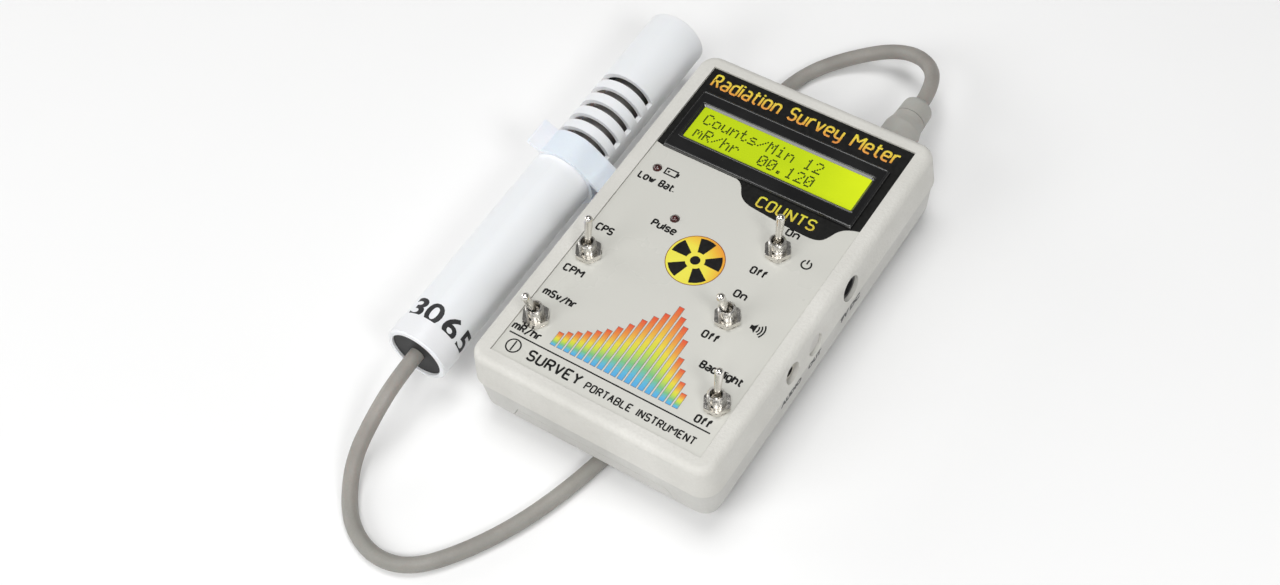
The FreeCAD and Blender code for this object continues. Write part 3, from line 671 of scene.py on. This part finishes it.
def addFadeFinish(name, stops, low, high, place=None):
    # ink that runs through several colours, up the panel or along what place gives
    ink = newFinish(name, stops[0][1], 0.4, Specular_IOR_Level=0.3)
    along = place(ink) if place else splitOf(ink, placeVector(ink), "Y")
    shade = rampOf(ink, rangeOf(ink, along, 0, 1, low, high), stops)
    grain = noise(ink, placeVector(ink), 1800, 1)
    dotted = blendColours(ink, rangeOf(ink, grain, 0, 0.08), shade, printLook["fadeGrain"])
    intoShader(ink, "Base Color", dotted)
    intoShader(ink, "Roughness", rangeOf(ink, grain, 0.3, 0.42))
    return ink


inkBlack = addInkFinish("inkBlack", printLook["black"])
inkGloss = addInkFinish("inkGloss", printLook["glossBlack"], 0.36)
titleFade = addFadeFinish("titleFade", [
    (0.0, printLook["amberLow"]), (0.42, printLook["amberMiddle"]), (1.0, printLook["amberTop"])],
    onPanel(0, printLook["titleFrom"]).y, onPanel(0, printLook["titleTo"]).y)
tabFade = addFadeFinish("tabFade", [(0.0, printLook["yellowLow"]), (1.0, printLook["yellow"])],
                        onPanel(0, printLook["tabFrom"]).y, onPanel(0, printLook["tabTo"]).y)


def addInk(name, loops, finish, rise=0.0, thick=printLook["thick"]):
    mesh = inkMesh(name, loops, thick)
    mesh.transform(Matrix.Translation(onPanel(0, 0, rise + thick / 2)))
    return addPiece(name, mesh, "case", finish)


# letters as single strokes: each pair is x, then y; letters stand on 2 and capitals reach a
strokes = {
    "A": "02 2a|2a 42|15 35", "B": "02 0a 3a 49 47 36 06|36 45 43 32 02",
    "C": "49 3a 1a 09 03 12 32 43", "E": "4a 0a|0a 02|02 42|06 36", "I": "02 0a", "L": "0a 02 42",
    "M": "02 0a|0a 36|36 6a|6a 62", "N": "02 0a|0a 42|42 4a", "O": "1a 3a 49 43 32 12 03 09 1a",
    "P": "02 0a 3a 49 47 36 06", "R": "02 0a 3a 49 47 36 06|26 42",
    "S": "49 3a 1a 09 07 16 36 45 43 32 12 03", "T": "0a 4a|2a 22", "U": "0a 03 12 32 43 4a",
    "V": "0a 22|22 4a", "Y": "0a 26|26 4a|26 22",
    "a": "18 38 47 42|45 15 04 03 12 42", "c": "47 38 18 07 03 12 32 43",
    "d": "4a 42|42 12 03 07 18 48", "e": "05 45|45 47 38 18 07 03 12 42", "f": "12 19 2a 3a|08 38",
    "g": "42 12 03 07 18 48|48 41 30 10", "h": "0a 02|06 18 38 47 42", "i": "08 02|09 0a",
    "k": "0a 02|04 48|26 42", "l": "0a 02", "m": "08 02|06 18 28 37 32|36 48 58 67 62",
    "n": "08 02|06 18 38 47 42", "o": "18 38 47 43 32 12 03 07 18", "r": "08 02|06 18 38",
    "s": "47 38 18 07 06 15 35 44 43 32 12 03", "t": "1a 13 22 32|08 38",
    "u": "08 03 12 32 44|48 42", "v": "08 22|22 48", "w": "08 22|22 37|37 42|42 68",
    "y": "08 04 13 43|48 41 30 10", "/": "01 4a", ".": "02 03",
}
letterGap, letterSpace, letterFoot, letterTall = 2.0, 2.6, 2, 8
letterRungs, rungStep = 5, 0.004


def letterTree():
    # a flat pen drawn along every stroke, its corners rounded
    g = Grower("penLetters", pen=0.0006, thick=0.00003, corner=0.0004)
    lines = g.add("GeometryNodeMeshToCurve", {"Mesh": g.take("Geometry")})
    level = g.add("GeometryNodeSetCurveNormal", {"Curve": lines.outputs["Curve"]}, mode="Z_UP")
    soft = g.add("GeometryNodeFilletCurve", {
        "Curve": level.outputs["Curve"], "Count": 5, "Limit Radius": True,
        "Radius": g.take("corner")}, mode="POLY")
    nib = g.add("GeometryNodeCurvePrimitiveQuadrilateral", {"Width": g.take("pen"),
                                                            "Height": g.take("thick")})
    inked = g.add("GeometryNodeCurveToMesh", {"Curve": soft.outputs["Curve"], "Fill Caps": True,
                                              "Profile Curve": nib.outputs["Curve"]})
    g.close(inked.outputs["Mesh"])
    return g


penLetters = letterTree()


def addWords(name, words, x, y, width, tall, pen, corner, finish=inkBlack, rise=0.0):
    # the words' ink is width by tall about x, y; tall is the height of a capital
    points, edges, across, rung = [], [], 0.0, 0
    for letter in words:
        reach = letterSpace
        if letter != " ":
            drawn = [line.split() for line in strokes[letter].split("|")]
            reach = max(int(pair[0], 16) for pairs in drawn for pair in pairs)
            for pairs in drawn:
                first, closed = len(points), pairs[0] == pairs[-1]
                rung = (rung + 1) % letterRungs   # crossing strokes lie a hair above each other
                spots = [(across + int(pair[0], 16), int(pair[1], 16) - letterFoot, rung)
                         for pair in (pairs[:-1] if closed else pairs)]
                edges += [(first + i, first + i + 1) for i in range(len(spots) - 1)]
                if closed:
                    edges.append((first + len(spots) - 1, first))
                points += spots
        across += reach + letterGap
    span = max(point[0] for point in points)
    scaleX, scaleY = (width - pen) / span, (tall - pen) / letterTall
    lift = rise + printLook["thick"] / 2
    placed = [onPanel(x + (px - span / 2) * scaleX, y + (py - letterTall / 2) * scaleY,
                      lift + rungStep * step) for px, py, step in points]
    return penLetters.grow(name, placed, finish, "case", "panel_print", edges=edges, pen=pen * mm,
                           thick=printLook["thick"] * mm, corner=corner * mm)


bandShape = {
    "half": 39.0, "top": 67.0, "lowLeft": 29.8, "lowRight": 30.0,
    "tab": [   # the curves of the tab's edge, from left to right
        ((-9.5, 29.4), (-5.5, 29.2), (-4.6, 28.0), (-3.2, 25.6)),
        ((-3.2, 25.6), (-1.8, 22.8), (0.6, 21.6), (4.5, 21.3)),
        ((4.5, 21.3), (12.0, 20.6), (19.0, 20.0), (25.0, 19.9)),
        ((25.0, 19.9), (29.6, 19.9), (30.6, 21.4), (31.8, 24.2)),
        ((31.8, 24.2), (32.9, 27.2), (34.2, 28.7), (39.0, 30.0))],
    "hole": (-36.0, 29.25, 36.0, 55.65),
}


def bandOutline(shape):
    half = shape["half"]
    edge = [(-half, shape["top"]), (-half, shape["lowLeft"])]
    for curve in shape["tab"]:
        edge += bezierPoints(*curve)
    return edge + [(half, shape["lowRight"]), (half, shape["top"])]


addInk("print_black_band", [bandOutline(bandShape), rectPoints(*bandShape["hole"])], inkGloss)

# words, middle x and y, width, height of a capital, pen, rounding of the corners
titleWords = ("Radiation Survey Meter", -0.4, 62.3, 72.6, 6.1, 0.84, 0.7)
tabWords = ("COUNTS", 14.6, 24.8, 22.0, 4.7, 0.7, 0.7)
addWords("print_title", *titleWords, titleFade, printLook["lift"])
addWords("print_tab_word", *tabWords, tabFade, printLook["lift"])


bezelLook = {
    "rim": (-35.6, 29.6, 35.6, 55.3),
    "window": (-33.4, 34.7, 33.4, 51.1),
    "round": 0.34, "corner": 0.7,
}


def ridgeTree():
    # a rounded bead laid along closed lines
    g = Grower("bezelBeads", round=0.0003, corner=0.0007)
    lines = g.add("GeometryNodeMeshToCurve", {"Mesh": g.take("Geometry")})
    soft = g.add("GeometryNodeFilletCurve", {
        "Curve": lines.outputs["Curve"], "Count": 6, "Limit Radius": True,
        "Radius": g.take("corner")}, mode="POLY")
    section = g.add("GeometryNodeCurvePrimitiveCircle", {"Resolution": 14, "Radius": g.take("round")})
    bead = g.add("GeometryNodeCurveToMesh", {"Curve": soft.outputs["Curve"],
                                             "Profile Curve": section.outputs["Curve"]})
    g.close(bead.outputs["Mesh"])
    return g


def addBezel(look):
    # two pressed beads on the display's metal frame, one along its rim and one round the window
    height = (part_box("lcd_frame")[1].z - panelTop) / mm
    points = [onPanel(x, y, height) for loop in ("rim", "window") for x, y in rectPoints(*look[loop])]
    edges = [(4 * i + k, 4 * i + (k + 1) % 4) for i in range(2) for k in range(4)]
    bead = ridgeTree().grow("lcd_frame_beads", points, frameBlack, "case", "black_frame",
                            edges=edges, round=look["round"] * mm, corner=look["corner"] * mm)
    bead.data.polygons.foreach_set("use_smooth", [True] * len(bead.data.polygons))


addBezel(bezelLook)

footLook = {
    "rule": (-37.9, -58.65, 37.1, -58.15),
    "first": ("SURVEY", -17.6, -62.6, 20.2, 4.2, 0.74, 0.4),
    "second": ("PORTABLE INSTRUMENT", 14.6, -63.1, 40.6, 3.0, 0.52, 0.3),
    "ringX": -33.6, "ringY": -62.4, "ringOuter": 2.7, "ringInner": 2.2,
    "needle": (-33.85, -64.4, -33.35, -60.4),
}


def addFoot(look):
    addInk("print_rule", [rectPoints(*look["rule"])], inkBlack)
    addWords("print_foot_line", *look["first"], inkGloss)
    addWords("print_foot_words", *look["second"], inkGloss)
    addInk("print_foot_mark", [circlePoints(look["ringX"], look["ringY"], look[radius])
                               for radius in ("ringOuter", "ringInner")], inkBlack)
    addInk("print_foot_mark_needle", [rectPoints(*look["needle"])], inkBlack)


addFoot(footLook)

# mark, words, middle x, middle y of the capitals, width
switchWords = [
    ("cps", "CPS", -33.8, -9.8, 6.6), ("cpm", "CPM", -33.3, -28.7, 7.6),
    ("msv", "mSv/hr", -31.2, -39.8, 12.6), ("mr", "mR/hr", -33.0, -55.6, 10.9),
    ("power_on", "On", 20.7, 18.7, 5.0), ("power_off", "Off", 18.9, 0.2, 5.9),
    ("sound_on", "On", 18.5, -10.2, 4.8), ("sound_off", "Off", 18.5, -28.3, 6.0),
    ("backlight", "Backlight", 28.8, -38.3, 15.4), ("backlight_off", "Off", 33.0, -55.7, 5.9),
    ("low_battery", "Low Bat.", -29.6, 15.2, 14.4), ("pulse", "Pulse", -17.3, 0.5, 9.4)]
switchPen = {"tall": 3.1, "pen": 0.64, "corner": 0.3}
for mark, words, x, y, width in switchWords:
    addWords("print_" + mark, words, x, y, width, **switchPen)


batteryIcon = {"x": -27.4, "y": 20.6, "wide": 4.8, "high": 2.9, "line": 0.52, "nub": 0.6,
               "level": 3.4}


def addBatteryIcon(icon):
    x0, x1 = icon["x"] - icon["wide"] / 2, icon["x"] + icon["wide"] / 2
    y0, y1 = icon["y"] - icon["high"] / 2, icon["y"] + icon["high"] / 2
    line, third = icon["line"], icon["high"] / 4
    inner = rectPoints(x0 + line, y0 + line, x1 - line, y1 - line)
    addInk("print_battery_outline", [rectPoints(x0, y0, x1, y1), inner], inkBlack)
    addInk("print_battery_nub", [rectPoints(x1, y0 + third, x1 + icon["nub"], y1 - third)], inkBlack)
    addInk("print_battery_level", [rectPoints(
        x0 + 2 * line, y0 + 2 * line, x0 + icon["level"] * line, y1 - 2 * line)], inkBlack)


powerIcon = {"x": 30.6, "y": 10.3, "radius": 1.65, "line": 0.56, "ringFrom": 125, "ringTo": 415,
             "barFoot": 0.2, "barPast": 0.45}


def addPowerIcon(icon):
    x, y, radius, half = icon["x"], icon["y"], icon["radius"], icon["line"] / 2
    ring = arcBand(x, y, radius - half, radius + half, icon["ringFrom"], icon["ringTo"], 40)
    addInk("print_power_ring", [ring], inkBlack)
    addInk("print_power_bar", [rectPoints(
        x - half, y + icon["barFoot"], x + half, y + radius + icon["barPast"])], inkBlack)


speakerIcon = {
    "x": 27.4, "y": -18.8,
    "cone": ((0, 0.75), (0.95, 0.75), (2.0, 1.85)),   # along and out from the middle line
    "waves": (1.6, 2.6, 3.6), "wavesX": 1.1, "sweep": 38, "line": 0.52,
}


def addSpeakerIcon(icon):
    x, y = icon["x"], icon["y"]
    cone = [(x + along, y - out) for along, out in icon["cone"]]
    cone += [(x + along, y + out) for along, out in reversed(icon["cone"])]
    addInk("print_speaker_cone", [cone], inkBlack)
    for i, radius in enumerate(icon["waves"], 1):
        wave = arcBand(x + icon["wavesX"], y, radius, radius + icon["line"],
                       -icon["sweep"], icon["sweep"], 12)
        addInk("print_speaker_wave_%d" % i, [wave], inkBlack)


addBatteryIcon(batteryIcon)
addPowerIcon(powerIcon)
addSpeakerIcon(speakerIcon)


discLook = {
    "x": -1.3, "y": -5.9, "radius": 9.75, "hub": 1.7,
    "rays": 5, "raySweep": 38.0, "rayInner": 3.3, "rayOuter": 8.9, "rayMiddle": 0.045,
    "rimHalf": 0.12, "rimThick": 0.01,
    "fadeFrom": (-4.0, -5.0), "fadeReach": 17.5,
}


def discPlace(ink):
    # distance from a point at the disc's lower left, so the colour turns from yellow to orange
    x, y = discLook["x"] + discLook["fadeFrom"][0], discLook["y"] + discLook["fadeFrom"][1]
    mapping = placeVector(ink, offset=tuple(-c for c in onPanel(x, y)))
    length = addNode(ink, "ShaderNodeVectorMath", operation="LENGTH")
    wire(ink, mapping, length.inputs[0])
    return length.outputs["Value"]


discFade = addFadeFinish("discFade", [
    (0.0, (0.8, 0.76, 0.08)), (0.55, (0.8, 0.7, 0.06)), (0.8, (0.8, 0.42, 0.03)),
    (1.0, (0.74, 0.2, 0.02))], 0.0, discLook["fadeReach"] * mm, discPlace)
discRim = addInkFinish("discRim", (0.2, 0.05, 0.02))


def rayTree():
    # sectors turned about the middle of a disc
    g = Grower("discRays", count=8, sweep=0.4, inner=0.003, outer=0.009, thick=0.00003)
    block, spot = g.block((1.0, 1.0, 1.0), x=9), g.spot()
    angle = g.math("MULTIPLY", spot.outputs[0], g.take("sweep"))
    reach = g.math("SUBTRACT", g.take("outer"), g.take("inner"))
    out = g.math("MULTIPLY", g.math("ADD", spot.outputs[1], 0.5), reach)
    radius = g.math("ADD", g.take("inner"), out)
    around = g.vector(g.math("MULTIPLY", radius, g.math("SINE", angle, 0.0)),
                      g.math("MULTIPLY", radius, g.math("COSINE", angle, 0.0)),
                      g.math("MULTIPLY", spot.outputs[2], g.take("thick")))
    wedge = g.add("GeometryNodeSetPosition", {"Geometry": block, "Position": around})
    spread = g.add("GeometryNodeMeshLine", {"Count": g.take("count"), "Offset": (0.0, 0.0, 0.0)})
    step = g.math("DIVIDE", 2 * math.pi, g.take("count"))
    turn = g.vector(0.0, 0.0, g.math("MULTIPLY", g.add("GeometryNodeInputIndex").outputs[0], step))
    fan = g.scatter(spread.outputs["Mesh"], wedge.outputs["Geometry"], Rotation=turn)
    g.close(g.scatter(g.take("Geometry"), fan))
    return g


def addDisc(look):
    x, y, radius, half = look["x"], look["y"], look["radius"], look["rimHalf"]
    addInk("print_disc", [circlePoints(x, y, radius, 96)], discFade)
    rim = [circlePoints(x, y, radius + half, 96), circlePoints(x, y, radius - half, 96)]
    addInk("print_disc_rim", rim, discRim, printLook["lift"], look["rimThick"])
    rayTree().grow("print_disc_rays", [onPanel(x, y, look["rayMiddle"])], inkBlack, "case",
                   "panel_print", count=look["rays"], sweep=math.radians(look["raySweep"]),
                   inner=look["rayInner"] * mm, outer=look["rayOuter"] * mm,
                   thick=printLook["thick"] * mm)
    addInk("print_disc_hub", [circlePoints(x, y, look["hub"])], inkBlack, printLook["lift"])


addDisc(discLook)


chartLook = {
    "firstX": -23.0, "pitch": 2.545, "baseY": -56.0, "width": 1.75, "outline": 0.14,
    "heights": (5.3, 6.7, 8.3, 10.0, 11.8, 13.8, 16.3, 19.0, 22.4, 25.2, 28.0, 32.4, 29.3, 26.6, 22.4,
                16.2, 12.8, 8.9, 5.6),
    "edgeThick": 0.02, "thick": 0.03,
}


def chartPlace(ink):
    return addNode(ink, "ShaderNodeAttribute", attribute_name="barShare").outputs["Fac"]


chartFade = addFadeFinish("chartFade", [
    (0.0, (0.07, 0.36, 0.72)), (0.1, (0.09, 0.43, 0.66)), (0.24, (0.18, 0.5, 0.2)),
    (0.42, (0.55, 0.66, 0.05)), (0.56, (0.76, 0.62, 0.05)), (0.76, (0.76, 0.3, 0.05)),
    (1.0, (0.7, 0.07, 0.03))], 0.0, 1.0, chartPlace)
chartEdge = addInkFinish("chartEdge", (0.16, 0.13, 0.1))


def barTree():
    # one bar on each point, as tall as the point says, with its share of the height kept for the colour
    g = Grower("chartBars", width=0.0018, margin=0.0, thick=0.00003)
    lifted = g.add("GeometryNodeSetPosition", {"Geometry": g.block((1.0, 1.0, 1.0), y=12),
                                               "Offset": (0.0, 0.5, 0.5)})
    shared = g.add("GeometryNodeStoreNamedAttribute", {
        "Geometry": lifted.outputs["Geometry"], "Name": "barShare", "Value": g.spot().outputs[1]},
        data_type="FLOAT", domain="POINT")
    tall = g.add("GeometryNodeInputNamedAttribute", {"Name": "barHeight"}, data_type="FLOAT").outputs[0]
    double = g.math("MULTIPLY", g.take("margin"), 2.0)
    size = g.vector(g.math("ADD", g.take("width"), double), g.math("ADD", tall, double),
                    g.take("thick"))
    down = g.vector(0.0, g.math("MULTIPLY", g.take("margin"), -1.0), 0.0)
    start = g.add("GeometryNodeSetPosition", {"Geometry": g.take("Geometry"), "Offset": down})
    g.close(g.scatter(start.outputs["Geometry"], shared.outputs["Geometry"], Scale=size))
    return g


def addChart(look):
    tree = barTree()
    tall = {"barHeight": [h * mm for h in look["heights"]]}
    feet = [(look["firstX"] + look["pitch"] * i, look["baseY"]) for i in range(len(look["heights"]))]
    tree.grow("print_chart_edges", [onPanel(x, y) for x, y in feet], chartEdge, "case", "panel_print",
              tall, width=look["width"] * mm, margin=look["outline"] * mm,
              thick=look["edgeThick"] * mm)
    tree.grow("print_chart_bars", [onPanel(x, y, look["edgeThick"]) for x, y in feet], chartFade,
              "case", "panel_print", tall, width=look["width"] * mm, thick=look["thick"] * mm)


addChart(chartLook)


print("stage 6: display characters")
glyphs = {   # five dots across, from the top row down
    "C": "01110 10001 10000 10000 10000 10001 01110",
    "o": "00000 00000 01110 10001 10001 10001 01110",
    "u": "00000 00000 10001 10001 10001 10011 01101",
    "n": "00000 00000 10110 11001 10001 10001 10001",
    "t": "01000 01000 11100 01000 01000 01001 00110",
    "/": "00000 00001 00010 00100 01000 10000 00000",
    "M": "10001 11011 10101 10101 10001 10001 10001",
    "i": "00100 00000 01100 00100 00100 00100 01110",
    "s": "00000 00000 01110 10000 01110 00001 11110",
    "m": "00000 00000 11010 10101 10101 10001 10001",
    "R": "11110 10001 10001 11110 10100 10010 10001",
    "h": "10000 10000 10110 11001 10001 10001 10001",
    "r": "00000 00000 10110 11001 10000 10000 10000",
    "0": "01110 10001 10011 10101 11001 10001 01110",
    "1": "00100 01100 00100 00100 00100 00100 01110",
    "2": "01110 10001 00001 00010 00100 01000 11111",
    ".": "00000 00000 00000 00000 00000 01100 01100",
    " ": "00000 00000 00000 00000 00000 00000 00000",
}
displayText = {
    "rows": ("Counts/Min 12", "mR/hr  00.120"),
    "firstX": -29.5, "charPitch": 3.57, "dotX": 0.6, "dotY": 0.68, "dotWide": 0.53, "dotHigh": 0.6,
    "rowTops": (47.7, 41.5), "thick": 0.04,
    "ink": (0.02, 0.035, 0.004),
}


def dotTree():
    g = Grower("displayDots", wide=0.0005, high=0.0006, thick=0.00004)
    dot = g.block(g.vector(g.take("wide"), g.take("high"), g.take("thick")))
    g.close(g.scatter(g.take("Geometry"), dot))
    return g


def addDisplayText(text):
    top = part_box("lcd_window")[1].z
    points = []
    for row, rowTop in zip(text["rows"], text["rowTops"]):
        for place, letter in enumerate(row):
            for line, bits in enumerate(glyphs[letter].split()):
                for column, bit in enumerate(bits):
                    if bit == "1":
                        x = text["firstX"] + text["charPitch"] * place + text["dotX"] * column
                        spot = onPanel(x, rowTop - text["dotY"] * line)
                        points.append((spot.x, spot.y, top + text["thick"] * mm / 2))
    ink = addInkFinish("displayInk", text["ink"], 0.3)
    dotTree().grow("display_dots", points, ink, "case", "display_glass", wide=text["dotWide"] * mm,
                   high=text["dotHigh"] * mm, thick=text["thick"] * mm)


addDisplayText(displayText)


print("stage 7: switch threads")
threadLook = {
    "places": ((20.2, 10.0), (19.8, -20.1), (33.7, -48.7), (-32.9, -20.6), (-33.2, -50.2)),
    "radius": 2.82, "first": 2.7, "pitch": 0.62, "turns": 6, "ridge": 0.13, "keyway": 11.0,
}


def threadTree():
    # ridges stacked up the bushing, each open at the keyway
    g = Grower("bushThreads", radius=0.003, pitch=0.0006, turns=6, ridge=0.00017, sweep=5.9, start=-1.4)
    loop = g.add("GeometryNodeCurveArc", {
        "Resolution": 40, "Radius": g.take("radius"), "Start Angle": g.take("start"),
        "Sweep Angle": g.take("sweep")})
    section = g.add("GeometryNodeCurvePrimitiveCircle", {"Resolution": 6, "Radius": g.take("ridge")})
    ridge = g.add("GeometryNodeCurveToMesh", {"Curve": loop.outputs["Curve"], "Fill Caps": True,
                                              "Profile Curve": section.outputs["Curve"]})
    stack = g.add("GeometryNodeMeshLine", {"Count": g.take("turns"),
                                           "Offset": g.vector(0.0, 0.0, g.take("pitch"))})
    lean = g.math("DIVIDE", g.take("pitch"), g.math("MULTIPLY", g.take("radius"), 4.0))
    rings = g.scatter(stack.outputs["Mesh"], ridge.outputs["Mesh"], Rotation=g.vector(lean, 0.0, 0.0))
    g.close(g.scatter(g.take("Geometry"), rings))
    return g


def addThreads(look):
    gap = math.radians(look["keyway"])
    feet = [onPanel(x, y, look["first"]) for x, y in look["places"]]
    threadTree().grow("switch_threads", feet, bushNickel, "case", "nickel",
                      radius=look["radius"] * mm, pitch=look["pitch"] * mm, turns=look["turns"],
                      ridge=look["ridge"] * mm, sweep=2 * math.pi - 2 * gap, start=-math.pi / 2 + gap)


addThreads(threadLook)


print("stage 8: figures on the wand and words by the ports")
wandMarks = {
    "x": -66.2, "z": 20.4, "radius": 11.15, "lowY": -67.6, "tall": 7.8, "wide": 6.0, "thick": 0.05,
    "bold": 0.022, "strips": 12,
    "figures": (("3", 116.0), ("0", 82.0), ("6", 44.0), ("5", 5.0)),   # each with its angle
}
wandInk = addInkFinish("wandInk", (0.03, 0.03, 0.032), 0.45)


def addWandFigure(marks, index, figure, degrees):
    # a flat figure cut into strips, then wrapped round the tube
    mesh = wordsMesh("figure", figure, marks["wide"], marks["tall"], marks["thick"], marks["bold"])
    work = bmesh.new()
    work.from_mesh(mesh)
    half = marks["wide"] * mm / 2
    for i in range(marks["strips"] + 1):
        cut = -half + i * half / (marks["strips"] / 2)
        bmesh.ops.bisect_plane(work, geom=work.verts[:] + work.edges[:] + work.faces[:], dist=1e-8,
                               plane_co=(cut, 0, 0), plane_no=(1, 0, 0))
    middle = marks["lowY"] + marks["tall"] / 2
    for v in work.verts:
        angle = math.radians(degrees) - v.co.x / (marks["radius"] * mm)
        reach = marks["radius"] + marks["thick"] / 2 + v.co.z / mm
        v.co = fromCaseMid(marks["x"] + reach * math.cos(angle), middle + v.co.y / mm,
                           marks["z"] + reach * math.sin(angle))
    bmesh.ops.recalc_face_normals(work, faces=work.faces)
    work.to_mesh(mesh)
    work.free()
    addPiece("wand_figure_%d" % index, mesh, "wand", wandInk)


for index, (figure, degrees) in enumerate(wandMarks["figures"], 1):
    addWandFigure(wandMarks, index, figure, degrees)

portWords = {
    "words": (("dc", "9V DC", 13.0, 12.5), ("probe", "OUT", -9.8, 8.0),
              ("audio", "AUDIO", -24.4, 12.5)),   # mark, words, middle along the wall, width
    "z": 17.2, "faceX": 45.6, "partingZ": 21.4, "lean": 0.1, "thick": 0.04, "bold": 0.055,
}


def addPortWords(look):
    # words on the right-hand wall, which leans a little outwards as it rises
    slope = look["lean"]
    faceX = look["faceX"] - slope * (look["partingZ"] - look["z"])
    right, up = Vector((0, 1, 0)), Vector((slope, 0, 1)).normalized()
    turn = Matrix((right, up, right.cross(up))).transposed().to_4x4()
    for mark, words, y, width in look["words"]:
        mesh = wordsMesh(mark, words, width, None, look["thick"], look["bold"])
        mesh.transform(Matrix.Translation(fromCaseMid(faceX + look["thick"] / 2, y, look["z"])) @ turn)
        addPiece("print_port_" + mark, mesh, "case", inkGloss)


addPortWords(portWords)
